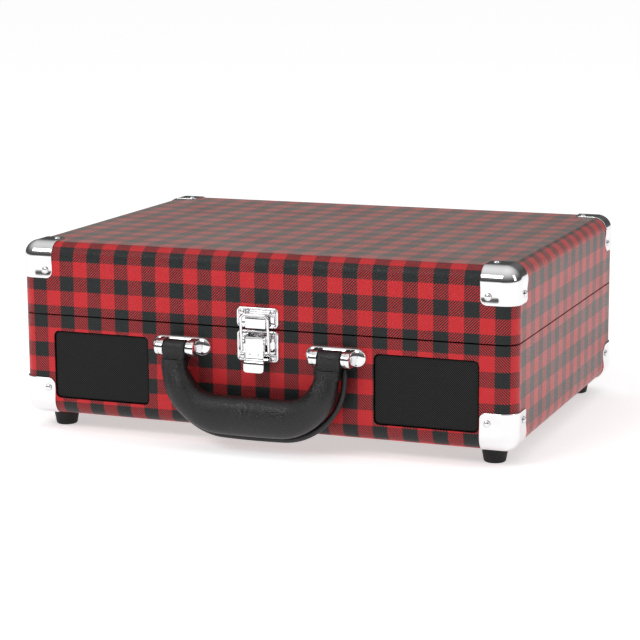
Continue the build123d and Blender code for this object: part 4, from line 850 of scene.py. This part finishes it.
@dataclass
class CornerPlates:
    """Pressed chrome corners and every rivet of the case."""

    case: Case
    palette: Palette
    thick: float = 0.9 * MM
    reach: float = 24.0 * MM
    lid_drop: float = 24.5 * MM
    base_rise: float = 26.0 * MM
    free_round: float = 4.5 * MM
    rivet_inset: float = 18.8 * MM
    rivet_radius: float = 2.4 * MM
    dish: float = 0.60 * MM

    def round_free_corner(self, a: np.ndarray, b: np.ndarray, far_a: float, far_b: float) -> tuple:
        """Pulls a square corner of a grid in to a quarter circle.

        Inside the last free_round of both ways, with p and q from 0 to 1
        towards the corner, p becomes p times the root of one less half q
        squared, and q the same with p.
        """
        r = self.free_round
        p = np.clip((a - (far_a - r)) / r, 0, 1)
        q = np.clip((b - (far_b - r)) / r, 0, 1)
        inside = (p > 0) & (q > 0)
        new_a = np.where(inside, far_a - r + r * p * np.sqrt(1 - q * q / 2), a)
        new_b = np.where(inside, far_b - r + r * q * np.sqrt(1 - p * p / 2), b)
        return new_a, new_b

    def shell(self, drop: float, flap: bool) -> Surface:
        """One corner about the meeting point of three faces, its flaps along -X, -Y and -Z.

        The band is worked out on two ways: w round the upright edge, and h up
        the side and over the top edge; a point is the centre of the rounding
        plus its radius along the normal that the two angles give.

        Args:
            drop: reach of the side flaps downwards.
            flap: whether it has a flap on the third face as well.

        Returns:
            An open shell at the plates' outer face.
        """
        r = self.case.edge
        out = r + self.thick
        flat = self.reach - r
        fall = drop - r
        fine = 7
        steps_flat = np.linspace(flat, 0, 13)
        arc = np.linspace(0, math.pi / 2, fine * 2 + 1)
        lengths = np.concatenate([-steps_flat[:-1], arc, steps_flat[::-1][1:] + math.pi / 2])
        kinds = np.concatenate([np.zeros(12), np.ones(len(arc)), np.full(12, 2)])
        rise_end = math.pi / 2 if flap else math.radians(62)
        heights = np.concatenate([-np.linspace(fall, 0, 13)[:-1], np.linspace(0, rise_end, fine * 2 + 1)])
        w, h = np.meshgrid(lengths, heights, indexing="ij")
        kind = np.repeat(kinds[:, None], len(heights), axis=1)
        side_run = np.where(kind == 0, -w, np.where(kind == 2, w - math.pi / 2, 0.0))
        down = np.clip(-h, 0, None)
        side_run, down = self.round_free_corner(side_run, down, flat, fall)
        dish = self.dish * np.sin(math.pi * np.clip(down / fall, 0, 1)) ** 2 * (kind != 1)
        turn = np.where(kind == 0, 0.0, np.where(kind == 2, math.pi / 2, np.clip(w, 0, math.pi / 2)))
        tilt = np.clip(h, 0, None)
        x = -np.where(kind == 0, side_run, 0.0) + (out - dish) * np.sin(turn) * np.cos(tilt)
        y = -np.where(kind == 2, side_run, 0.0) + (out - dish) * np.cos(turn) * np.cos(tilt)
        z = -down + out * np.sin(tilt)
        band = Surface(np.stack([x, y, z], axis=-1).reshape(-1, 3), grid_faces(len(lengths), len(heights)))
        if not flap:
            return band
        run = steps_flat[::-1]
        a, b = np.meshgrid(run, run, indexing="ij")
        a, b = self.round_free_corner(a, b, flat, flat)
        cap = Surface(np.stack([-a, -b, np.full(a.shape, out)], axis=-1).reshape(-1, 3), grid_faces(13, 13))
        return joined([band, cap])

    def place_corner(self, shell: Surface, sx: int, sy: int, up: int, z_edge: float) -> Surface:
        """Mirrors the corner to one of the case's corners; z_edge is the face that it meets."""
        inner = self.case.edge
        scale = np.array([sx, sy, up])
        y_edge = self.case.back if sy > 0 else self.case.front
        centre = np.array([sx * (self.case.half - inner), y_edge - sy * inner, z_edge - up * inner])
        return Surface(shell.points * scale + centre, shell.faces)

    def corners(self, name: str, body: str, node: str, drop: float, up: int, z_edge: float) -> None:
        """Makes the four corners of one half of the case."""
        shell = self.shell(drop, up > 0)
        parts = [self.place_corner(shell, sx, sy, up, z_edge) for sx in SIDES for sy in SIDES]
        obj = piece(name, joined(parts), self.palette.chrome, body, node, smooth=60, slot="chrome")
        flip_to_outside(obj, np.array([0, self.case.mid_y, z_edge - up * 0.04]))
        wall = obj.modifiers.new("wall", "SOLIDIFY")
        wall.thickness, wall.offset, wall.use_even_offset = self.thick * 0.94, -1.0, True
        bevel(obj, 0.42 * MM, 3)

    def rivet(self, direction: Sequence[float], place: Sequence[float]) -> Surface:
        """One domed rivet on a shallow ring, standing on a face.

        Args:
            direction: the face's outward normal.
            place: its point on the face.

        Returns:
            The rivet.
        """
        r = self.rivet_radius
        ring = [(0.0, -0.4 * MM), (r, -0.4 * MM), (r, 0.12 * MM), (r * 0.96, 0.26 * MM), (r * 0.86, 0.28 * MM)]
        dome = [(r * 0.82 * math.cos(q), 0.2 * MM + 0.68 * MM * math.sin(q)) for q in np.linspace(0, math.pi / 2, 7)]
        body = lathe(ring + dome, Along.Z, 28)
        turn = np.array(Vector((0, 0, 1)).rotation_difference(Vector(direction)).to_matrix())
        return Surface(body.points @ turn.T + np.array(place), body.faces)

    def rivets(self, z: float, top: Optional[float]) -> list:
        """Rivets of four corners at one height, and on the top where top is given."""
        case, found = self.case, []
        for sx in SIDES:
            for sy in SIDES:
                y_edge = case.back if sy > 0 else case.front
                x_in, y_in = sx * (case.half - self.rivet_inset), y_edge - sy * self.rivet_inset
                found.append(self.rivet((0, sy, 0), (x_in, y_edge + sy * self.thick, z)))
                found.append(self.rivet((sx, 0, 0), (sx * (case.half + self.thick), y_in, z)))
                if top is not None:
                    found.append(self.rivet((0, 0, 1), (x_in, y_in, top)))
        return found

    def build(self) -> None:
        """Makes all corners and rivets."""
        case = self.case
        top, bottom = float(case.lid_high[2]), float(case.base_low[2])
        self.corners("lid_corner_plates", "lid", "lid_corners", self.lid_drop, 1, top)
        self.corners("base_corner_plates", "base", "base_corners", self.base_rise, -1, bottom)
        hinge = [(s * 110 + t * 11) * MM for s in SIDES for t in SIDES]
        z_hinge = 82.2 * MM
        back = case.back + 1.0 * MM
        latch_x, latch_y = 10.8 * MM, case.front - 1.35 * MM
        lid = self.rivets(top - self.rivet_inset, top + self.thick)
        lid += [self.rivet((0, 1, 0), (x, back, z_hinge + 12 * MM)) for x in hinge]
        lid += [self.rivet((0, -1, 0), (s * latch_x, latch_y, case.lid_low[2] + 10.4 * MM)) for s in SIDES]
        base = self.rivets(bottom + self.rivet_inset, None)
        base += [self.rivet((0, 1, 0), (x, back, z_hinge - 12 * MM)) for x in hinge]
        base += [self.rivet((0, -1, 0), (s * latch_x, latch_y, case.base_high[2] - 18.2 * MM)) for s in SIDES]
        piece("lid_rivet_heads", joined(lid), self.palette.chrome_soft, "lid", "lid_rivets", slot="chrome")
        piece("base_rivet_heads", joined(base), self.palette.chrome_soft, "base", "base_rivets", slot="chrome")


def flip_to_outside(obj: bpy.types.Object, centre: np.ndarray) -> None:
    """Turns an open shell's faces to point away from a place inside the object."""
    work = bmesh.new()
    work.from_mesh(obj.data)
    inner = Vector(centre.tolist())
    wrong = [f for f in work.faces if f.normal.dot(f.calc_center_median() - inner) < 0]
    bmesh.ops.reverse_faces(work, faces=wrong)
    work.to_mesh(obj.data)
    work.free()


# ---------------------------------------------------------------- front fittings
@dataclass
class Grilles:
    """Cloth panels in their pockets."""

    case: Case
    palette: Palette
    edge: float = 1.6 * MM

    def build(self) -> None:
        """A panel is a plate whose rim rounds over and whose middle swells by a third of a millimetre."""
        for side in ("left", "right"):
            low, high = (np.array(v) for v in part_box("grille_" + side))
            width, height = high[0] - low[0], high[2] - low[2]
            mid = (low + high) / 2
            deep = high[1] - low[1]
            turn = np.linspace(0, math.pi / 2, 6)
            rim = [(0.0, 0.0), (0.0, deep - self.edge * 0.7)]
            rim += [(self.edge * (1 - math.cos(q)), deep - self.edge * 0.7 * (1 - math.sin(q))) for q in turn[1:]]
            rim += [(4 * MM, deep + 0.12 * MM), (12 * MM, deep + 0.28 * MM), (20 * MM, deep + 0.34 * MM)]
            panel = plate(width, height, 3.5 * MM, rim, 8).moved(mid[0], high[1], mid[2])
            piece("grille_cloth_" + side, panel, self.palette.cloth, "base", "grille_" + side, smooth=50, slot="grille_cloth")


@dataclass
class Feet:
    """Tapered rubber feet."""

    palette: Palette

    def build(self) -> None:
        """Each foot is a turned cone with a soft tip, a recess and a rim where it meets the case."""
        low, high = (np.array(v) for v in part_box("feet"))
        r_top, r_tip, tall = 9.5 * MM, 7.5 * MM, high[2] - low[2]
        soft = [(r_tip - 1.5 * MM + 1.5 * MM * math.sin(q), 1.5 * MM * (1 - math.cos(q))) for q in np.linspace(0, math.pi / 2, 6)]
        profile = [(0.0, 5 * MM), (3.2 * MM, 5 * MM), (3.2 * MM, 0.3 * MM), (3.5 * MM, 0.0)] + soft
        profile += [(r_top - 0.35 * MM, tall - 0.6 * MM), (r_top, tall - 0.3 * MM), (r_top, tall), (0.0, tall)]
        foot = lathe(profile, Along.Z, 40)
        xs, ys = (low[0] + r_top, high[0] - r_top), (low[1] + r_top, high[1] - r_top)
        piece("rubber_feet", joined(foot.moved(x, y, 0) for x in xs for y in ys), self.palette.rubber, "base", "feet",
              smooth=35, slot="black_rubber")


@dataclass
class Handle:
    """Padded grip with its loops, welt, mounts and pins."""

    case: Case
    palette: Palette
    mount_x: float = 55.5 * MM
    pivot_z: float = 67.5 * MM
    pivot_out: float = 10.0 * MM
    grip_out: float = 15.0 * MM
    depth: float = 20.0 * MM
    half: float = 63.5 * MM
    arm: float = 18.0 * MM
    bar: float = 25.0 * MM
    low: float = 13.8 * MM
    arm_top: float = 61.0 * MM
    outer_round: float = 42.0 * MM
    inner_round: float = 20.0 * MM
    loop_radius: float = 6.0 * MM
    loop_half: float = 7.85 * MM
    neck: float = 22.0 * MM

    def rail(self, half: float, low: float, radius: float, count: int) -> np.ndarray:
        """U-shaped line in X and Z: down one arm, round a quarter circle, along the bar and back up."""
        quarter = np.linspace(0, math.pi / 2, count)
        arm = np.linspace(self.arm_top, low + radius, 6)[:-1]
        left = np.stack([np.full(5, -half), arm], axis=1)
        turn = np.stack([-half + radius * (1 - np.cos(quarter)), low + radius * (1 - np.sin(quarter))], axis=1)
        bar_x = np.linspace(-half + radius, 0, 9)[1:]
        bar = np.stack([bar_x, np.full(8, low)], axis=1)
        side = np.concatenate([left, turn, bar])
        return np.concatenate([side, (side * [-1, 1])[::-1][1:]])

    def grip(self) -> Surface:
        """Plump section carried between an inner and an outer rail.

        At each station the section is a superellipse: half the rail-to-rail
        width times the signed power 0.84 of the cosine, and half the depth
        times the signed power 0.84 of the sine.  Its ends close with flat caps.
        """
        outer = self.rail(self.half, self.low, self.outer_round, 18)
        inner = self.rail(self.half - self.arm, self.low + self.bar, self.inner_round, 18)
        bow = 1.6 * MM * (1 - np.clip(np.abs(outer[:, 0]) / (48 * MM), 0, 1) ** 2)
        outer = outer - np.stack([bow * 0, bow], axis=1)
        middle = (outer + inner) / 2
        step = np.linalg.norm(np.diff(middle, axis=0), axis=1)
        way = np.concatenate([[0], np.cumsum(step)])
        way = np.clip(np.minimum(way, way[-1] - way) / self.neck, 0, 1)
        ease = way * way * (3 - 2 * way)
        half_w = (outer - inner) / 2 * (0.86 + 0.14 * ease)[:, None]
        half_d = self.depth / 2 * (0.50 + 0.50 * ease)
        turn = np.linspace(0, TURN, 40, endpoint=False)
        power = 0.84
        a = np.sign(np.cos(turn)) * np.abs(np.cos(turn)) ** power
        b = np.sign(np.sin(turn)) * np.abs(np.sin(turn)) ** power
        xz = middle[:, None] + a[None, :, None] * half_w[:, None]
        y = self.case.front - self.grip_out + b[None, :] * half_d[:, None]
        return loft(np.stack([xz[..., 0], y, xz[..., 1]], axis=-1))

    def welt(self) -> Surface:
        """Piped edge along the grip's outer rail, a flattened cord half sunk in the seam."""
        rail = self.rail(self.half + 1.2 * MM, self.low - 2.0 * MM, self.outer_round + 1.0 * MM, 24)
        bow = 1.8 * MM * (1 - np.clip(np.abs(rail[:, 0]) / (48 * MM), 0, 1) ** 2)
        y = np.full(len(rail), self.case.front - self.grip_out + 5.5 * MM)
        path = np.stack([rail[:, 0], y, rail[:, 1] - bow], axis=1)
        ease = np.ones(len(path))
        ease[:4] = ease[-4:][::-1] = np.array([0.45, 0.7, 0.88, 0.97])
        return tube(path, 2.1 * MM * ease, 14, 0.85)

    def loop_outline(self, inset: float) -> np.ndarray:
        """Strap round the pin: three quarters of a circle, then straight down into the arm."""
        r = self.loop_radius - inset
        y0, z0 = self.case.front - self.pivot_out, self.pivot_z
        turn = np.linspace(-0.15, math.pi + 0.15, 22)
        arc = np.stack([y0 + r * np.cos(turn), z0 + r * np.sin(turn)], axis=1)
        front = self.case.front + inset
        tail = np.array([[y0 - r - 0.3 * MM, z0 - 5 * MM], [front - 17.4 * MM, z0 - 9 * MM], [front - 18.6 * MM, z0 - 13 * MM],
                         [front - 11.5 * MM, z0 - 13 * MM], [front - 8.0 * MM, z0 - 8 * MM], [y0 + r * 0.9, z0 - 3 * MM]])
        return np.concatenate([arc, tail])

    def loops(self) -> Surface:
        """Leather loops, their rims turned over."""
        profile = edge_profile(-self.loop_half, self.loop_half, 1.1 * MM, 4)
        loop = drawn(self.loop_outline, profile)
        return joined(loop.moved(x=s * self.mount_x) for s in SIDES)

    def ear_outline(self, inset: float) -> np.ndarray:
        """Rounded ear: half a circle round the pin and straight back to the plate."""
        r = 5.6 * MM - inset
        y0, z0 = self.case.front - self.pivot_out, self.pivot_z
        turn = np.linspace(math.pi / 2, 3 * math.pi / 2, 20)
        arc = np.stack([y0 + r * np.cos(turn), z0 + r * np.sin(turn)], axis=1)
        root = self.case.front - 1.0 * MM
        return np.concatenate([arc, np.array([[root, z0 - r], [root, z0 + r]])])

    def mounts(self) -> Surface:
        """Domed chrome plates, each with two ears that carry a turned groove."""
        found = []
        dome = [(0.0, 0.0), (0.0, 0.7 * MM), (0.25 * MM, 1.1 * MM)]
        dome += [(0.25 * MM + 5.6 * MM * (1 - math.cos(q)), 1.1 * MM + 2.5 * MM * math.sin(q)) for q in np.linspace(0.15, math.pi / 2, 8)]
        half = 3.0 * MM
        rim = edge_profile(-half, half, 0.7 * MM, 3)
        split = len(rim) // 2
        groove = [(0.0, -0.45 * MM), (0.35 * MM, -0.25 * MM), (0.35 * MM, 0.25 * MM), (0.0, 0.45 * MM)]
        profile = rim[:split] + groove + rim[split:]
        for side in SIDES:
            x = side * self.mount_x
            found.append(plate(43 * MM, 13 * MM, 6.5 * MM, dome, 12).moved(x, self.case.front, self.pivot_z))
            for ear in SIDES:
                found.append(drawn(self.ear_outline, profile).moved(x=x + ear * 11.2 * MM))
        return joined(found)

    def pins(self) -> Surface:
        """Pins with domed ends just proud of the ears."""
        reach = 14.35 * MM
        pin = lathe(rounded_profile(2.0 * MM, -reach, reach, 0.5 * MM), Along.X, 24)
        y0 = self.case.front - self.pivot_out
        return joined(pin.moved(s * self.mount_x, y0, self.pivot_z) for s in SIDES)

    def build(self) -> None:
        """Makes the handle."""
        grip = piece("handle_grip_leather", joined([self.grip(), self.loops(), self.welt()]), self.palette.handle,
                     "handle", "handle_grip", smooth=55, slot="handle_leatherette")
        piece("handle_mounts_chrome", self.mounts(), self.palette.chrome, "base", "handle_mounts", smooth=38, slot="chrome")
        piece("handle_pins_steel", self.pins(), self.palette.nickel, "base", "handle_pins", slot="nickel_steel")


@dataclass
class Latch:
    """Draw latch: two rimmed plates, a lever with its tongue, and a wire bail."""

    case: Case
    palette: Palette
    width: float = 30.0 * MM
    pivot_drop: float = 6.2 * MM

    def rim(self, thick: float) -> list:
        """Section of a pressed plate: a rolled rim round a lower field."""
        t = thick
        return [(0.0, 0.0), (0.0, t * 0.55), (0.15 * MM, t * 0.95), (0.5 * MM, t * 1.25), (1.0 * MM, t * 1.35),
                (1.5 * MM, t * 1.2), (2.0 * MM, t * 0.75), (2.6 * MM, t * 0.45), (4.0 * MM, t * 0.32), (6.5 * MM, t * 0.25)]

    def base_plate(self) -> Surface:
        """Lower plate with two ears and the pivot pin."""
        top = self.case.base_high[2] - 0.3 * MM
        low = self.case.base_high[2] - 21.7 * MM
        found = [plate(self.width, top - low, 3.0 * MM, self.rim(1.2 * MM), 8).moved(0, self.case.front, (top + low) / 2)]
        y0, z0 = self.case.front - 5.0 * MM, self.case.base_high[2] - self.pivot_drop

        def ear(inset: float) -> np.ndarray:
            r = 3.0 * MM - inset
            turn = np.linspace(math.pi / 2, 3 * math.pi / 2, 14)
            arc = np.stack([y0 + r * np.cos(turn), z0 + r * np.sin(turn)], axis=1)
            return np.concatenate([arc, [[self.case.front - 0.4 * MM, z0 - r], [self.case.front - 0.4 * MM, z0 + r]]])

        for side in SIDES:
            x = side * 7.5 * MM
            found.append(drawn(ear, edge_profile(x - 0.6 * MM, x + 0.6 * MM, 0.3 * MM, 3)))
        found.append(lathe(rounded_profile(1.0 * MM, -8.5 * MM, 8.5 * MM, 0.4 * MM), Along.X, 18).moved(0, y0, z0))
        return joined(found)

    def strip(self, line: np.ndarray, half: np.ndarray, thick: float, edge: float) -> Surface:
        """Sheet-metal strip that follows a line in Y and Z.

        Each ring is a rounded rectangle square to the line: half the width
        along X and half the thickness along the line's normal.

        Args:
            line: points in Y and Z.
            half: half width at each point.
            thick: thickness.
            edge: radius of its long edges.

        Returns:
            A closed strip.
        """
        tangent = np.gradient(line, axis=0)
        tangent /= np.linalg.norm(tangent, axis=1)[:, None]
        normal = np.stack([tangent[:, 1], -tangent[:, 0]], axis=1)
        rings = []
        for point, out, width in zip(line, normal, half):
            ring = rounded_outline(2 * width, thick, edge, 3)
            yz = point + ring[:, 1][:, None] * out
            rings.append(np.stack([ring[:, 0], yz[:, 0], yz[:, 1]], axis=1))
        return loft(np.array(rings))

    def lever(self) -> Surface:
        """Face plate with two pressed dimples, side flanges, and a tongue that flares out and ends round."""
        seam, front = self.case.base_high[2], self.case.front
        y_face = front - 6.8 * MM
        z = np.array([4.2, 4.6, 6.0, 10.0, 14.0, 18.0, 19.0, 19.7, 20.3, 21.0, 22.5, 24.5, 26.4, 27.2, 27.6]) * MM
        out = np.array([0.5, 0.0, -0.25, -0.25, 0.0, 0.0, 0.1, 0.5, 1.2, 1.6, 1.7, 1.75, 1.95, 2.1, 2.15]) * MM
        half = np.array([6.0, 6.4, 6.5, 6.5, 6.5, 6.5, 6.5, 6.7, 7.1, 7.4, 7.4, 7.4, 7.3, 6.6, 5.4]) * MM
        line = np.stack([y_face - out, seam - z], axis=1)
        found = [self.strip(line, half, 1.2 * MM, 0.5 * MM)]
        for side in SIDES:
            x = side * 5.9 * MM
            found.append(slab((x - 0.6 * MM, y_face, seam - 17.2 * MM), (x + 0.6 * MM, front - 3.5 * MM, seam - 4.4 * MM), 0.35 * MM))
            dimple = lathe([(0.0, -0.2 * MM), (0.75 * MM, -0.15 * MM), (0.62 * MM, 0.3 * MM), (0.3 * MM, 0.5 * MM), (0.0, 0.55 * MM)], Along.Y, 14)
            found.append(dimple.turned(Along.Z, 180).moved(side * 3.0 * MM, y_face - 0.5 * MM, seam - 15.6 * MM))
        return joined(found)

    def bail(self) -> Surface:
        """Wire loop: out of the lever's flanges, up both legs and across the top."""
        seam, front = self.case.base_high[2], self.case.front
        y0, y1 = front - 5.0 * MM, front - 6.9 * MM
        z0, z1 = seam - 14.7 * MM, seam + 11.0 * MM
        x0, x1 = 5.4 * MM, 9.7 * MM
        r = 3.2 * MM
        turn = np.linspace(0, math.pi / 2, 8)
        foot = [(-x0, y0, z0), (-x1 + 1.4 * MM, y0, z0)]
        foot += [(-x1 + 1.4 * MM * (1 - math.sin(q)), y0, z0 + 1.4 * MM * (1 - math.cos(q))) for q in turn[1:]]
        leg = [(-x1, y0 + (y1 - y0) * t, z0 + 1.4 * MM + (z1 - r - z0 - 1.4 * MM) * t) for t in np.linspace(0.1, 1, 6)]
        bend = [(-x1 + r * (1 - math.cos(q)), y1, z1 - r * (1 - math.sin(q))) for q in turn[1:]]
        half = foot + leg + bend
        path = np.array(half + [(-x, y, z) for x, y, z in half[::-1]])
        return tube(path, 1.0 * MM, 14)

    def keeper(self) -> Surface:
        """Upper plate with the tab that the bail hooks over, its lip turned up."""
        low = self.case.lid_low[2] + 0.3 * MM
        seam, front = self.case.base_high[2], self.case.front
        found = [plate(self.width, 14 * MM, 3.0 * MM, self.rim(1.2 * MM), 8).moved(0, front, low + 7 * MM)]
        top = seam + 9.8 * MM
        line = np.array([[front - 0.6 * MM, top - 0.6 * MM], [front - 3.2 * MM, top - 0.6 * MM], [front - 4.2 * MM, top - 0.8 * MM],
                         [front - 4.6 * MM, top - 1.6 * MM], [front - 4.6 * MM, top - 4.0 * MM], [front - 4.6 * MM, low + 0.4 * MM]])
        line = np.stack([np.interp(np.linspace(0, 5, 16), np.arange(6), line[:, i]) for i in (0, 1)], axis=1)
        found.append(self.strip(line, np.full(16, 7.4 * MM), 1.2 * MM, 0.45 * MM))
        return joined(found)

    def build(self) -> None:
        """Makes the latch."""
        chrome = self.palette.chrome
        piece("latch_plate_chrome", self.base_plate(), chrome, "base", "latch_base_plate", smooth=50, slot="chrome")
        piece("latch_lever_chrome", self.lever(), chrome, "latch_lever", "latch_lever", smooth=50, slot="chrome")
        piece("latch_bail_wire", self.bail(), chrome, "latch_bail", "latch_bail", smooth=60, slot="chrome")
        piece("latch_keeper_chrome", self.keeper(), chrome, "lid", "latch_keeper", smooth=50, slot="chrome")


@dataclass
class SoftParts:
    """Felt mat on the platter and the lid's velour lining."""

    palette: Palette
    hole: float = 3.65 * MM

    def mat(self) -> None:
        """Felt disc with softened rims, laid on the platter."""
        low, high = (np.array(v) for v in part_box("slipmat"))
        radius, mid = float(high[0] - low[0]) / 2, (low + high) / 2
        z0, z1 = float(low[2]), float(high[2])
        edge = (z1 - z0) * 0.35
        profile = [(self.hole, z0), (radius - edge * 0.4, z0), (radius, z0 + edge), (radius, z1 - edge),
                   (radius - edge * 0.4, z1 - edge * 0.3), (radius - edge * 1.6, z1), (radius * 0.5, z1),
                   (self.hole + edge, z1), (self.hole, z1 - edge)]
        mat = piece("felt_mat", lathe(profile, Along.Z, 96, True).moved(mid[0], mid[1]), self.palette.felt, "platter",
                    "slipmat", smooth=50, slot="felt")

    def lining(self) -> None:
        """Velour stretched over the inside of the lid."""
        lining = shown(merged_copy("lid_lining", "lid_velour", self.palette.velour), "lid", "lid_lining")

    def build(self) -> None:
        """Makes both."""
        self.mat()
        self.lining()


class Inside:
    """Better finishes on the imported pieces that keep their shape."""

    def __init__(self, palette: Palette) -> None:
        """Pairs each finish with its nodes."""
        p = palette
        self.pairs = {
            # the shells take the near-black board colour, painted shade for the seam gap
            p.gap_shade_board: ("base_shell", "lid_shell"),
            p.nickel: ("hinge_base_leaves", "hinge_lid_leaves", "hinge_pins", "stay_base_bracket", "stay_lower_link",
                       "stay_upper_link", "stay_lid_bracket", "deck_screws", "foot_screws", "spindle", "front_jacks", "rear_jacks", "motor"),
            p.deck: ("deck_plate", "tonearm_base", "tonearm_gimbal", "tonearm_rest", "tonearm_clip", "cue_lever", "cue_platform",
                     "rear_panel", "headshell", "cartridge", "speaker_left", "speaker_right", "speaker_leads"),
            p.gloss: ("volume_knob", "mode_knob", "speed_switch", "autostop_switch", "adapter_45", "platter"),
            p.brass: ("platter_bearing", "motor_pulley"),
            p.rubber: ("drive_belt",),
            p.satin: ("tonearm_tube",),
            p.paint: ("counterweight",),
            p.red: ("stylus", "power_led"),
            p.board: ("main_board",),
        }

    def build(self) -> None:
        """Assigns each finish to its nodes' material slots."""
        for material, nodes in self.pairs.items():
            for node in nodes:
                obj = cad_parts[node]
                if not obj.material_slots:
                    obj.data.materials.append(material)
                for slot in obj.material_slots:
                    slot.material = material
                log.info("%s: packed shape, finish %s", node, material.name)


# ---------------------------------------------------------------- studio
@dataclass
class Studio:
    """Pale floor, soft light and the camera."""

    palette: Palette
    place: tuple = (0.52837, -1.36673, 0.34825)
    yaw: float = 21.25
    pitch: float = 10.90
    roll: float = -0.36
    lens: float = 116.65
    sensor: float = 36.0

    def camera(self) -> None:
        """Camera looking down along its yaw and pitch."""
        data = bpy.data.cameras.new("camera")
        data.lens, data.sensor_width, data.clip_end = self.lens, self.sensor, 60.0
        obj = bpy.data.objects.new("camera", data)
        yaw, pitch, roll = (math.radians(a) for a in (self.yaw, self.pitch, self.roll))
        ahead = Vector((-math.sin(yaw) * math.cos(pitch), math.cos(yaw) * math.cos(pitch), -math.sin(pitch)))
        right = ahead.cross(Vector((0, 0, 1))).normalized()
        up = right.cross(ahead)
        side = right * math.cos(roll) + up * math.sin(roll)
        rise = up * math.cos(roll) - right * math.sin(roll)
        obj.matrix_world = Matrix((
            (side.x, rise.x, -ahead.x, self.place[0]), (side.y, rise.y, -ahead.y, self.place[1]),
            (side.z, rise.z, -ahead.z, self.place[2]), (0, 0, 0, 1)))
        bpy.context.scene.collection.objects.link(obj)
        bpy.context.scene.camera = obj

    def area(self, name: str, place: tuple, size: tuple, power: float) -> None:
        """Soft box that points at the middle of the case."""
        data = bpy.data.lights.new(name, "AREA")
        data.shape, data.size, data.size_y, data.energy = "RECTANGLE", size[0], size[1], power
        obj = bpy.data.objects.new(name, data)
        obj.location = place
        obj.rotation_euler = (Vector((0, 0, 0.07)) - Vector(place)).to_track_quat("-Z", "Y").to_euler()
        bpy.context.scene.collection.objects.link(obj)

    def surroundings(self) -> None:
        """White room, bright below the horizon, with a dark band just above it that brightens again towards the top,
        so that metal has something to reflect.
        """
        world = bpy.data.worlds.new("studio")
        bpy.context.scene.world = world
        world.use_nodes = True
        tree = world.node_tree
        tree.nodes.clear()
        out = tree.nodes.new("ShaderNodeOutputWorld")
        back = tree.nodes.new("ShaderNodeBackground")
        where = tree.nodes.new("ShaderNodeTexCoord")
        split = tree.nodes.new("ShaderNodeSeparateXYZ")
        ramp = tree.nodes.new("ShaderNodeValToRGB")
        shift = tree.nodes.new("ShaderNodeMath")
        shift.operation = "MULTIPLY_ADD"
        shift.inputs[1].default_value = 0.5
        shift.inputs[2].default_value = 0.5
        tree.links.new(where.outputs["Generated"], split.inputs[0])
        tree.links.new(split.outputs[2], shift.inputs[0])
        tree.links.new(shift.outputs[0], ramp.inputs[0])
        stops = ((0.0, 0.9), (0.498, 0.9), (0.515, 0.10), (0.60, 0.07), (0.72, 0.22), (0.86, 0.60), (1.0, 0.95))
        for _ in range(len(stops) - 2):
            ramp.color_ramp.elements.new(0.5)
        for element, (place, level) in zip(ramp.color_ramp.elements, stops):
            element.position, element.color = place, (level, level, level, 1.0)
        tree.links.new(ramp.outputs[0], back.inputs[0])
        tree.links.new(back.outputs[0], out.inputs[0])
        back.inputs[1].default_value = 1.0

    def floor(self) -> None:
        """Large flat floor at the feet."""
        mesh = bpy.data.meshes.new("floor")
        half = 25.0
        mesh.from_pydata([(-half, -half, 0), (half, -half, 0), (half, half, 0), (-half, half, 0)], [], [(0, 1, 2, 3)])
        mesh.materials.append(self.palette.floor)
        obj = bpy.data.objects.new("floor", mesh)
        bpy.context.scene.collection.objects.link(obj)

    def build(self) -> None:
        """Sets up the studio."""
        bpy.context.scene.view_settings.view_transform = "Standard"
        self.camera()
        self.surroundings()
        self.floor()
        self.area("key_light", (-0.80, -1.70, 1.48), (1.4, 0.65), 17.0)
        self.area("side_light", (2.0, -0.3, 1.0), (0.5, 1.2), 6.0)
        bpy.context.scene.cycles.denoising_prefilter = "NONE"


def main() -> None:
    """Builds every sub-assembly in order."""
    logging.basicConfig(level=logging.INFO, format="%(message)s")
    palette = Palette()
    case = Case()
    Studio(palette).build()
    Coverings(case, palette).build()
    CornerPlates(case, palette).build()
    Grilles(case, palette).build()
    Feet(palette).build()
    Handle(case, palette).build()
    Latch(case, palette).build()
    SoftParts(palette).build()
    Inside(palette).build()


if __name__ == "__main__":
    main()
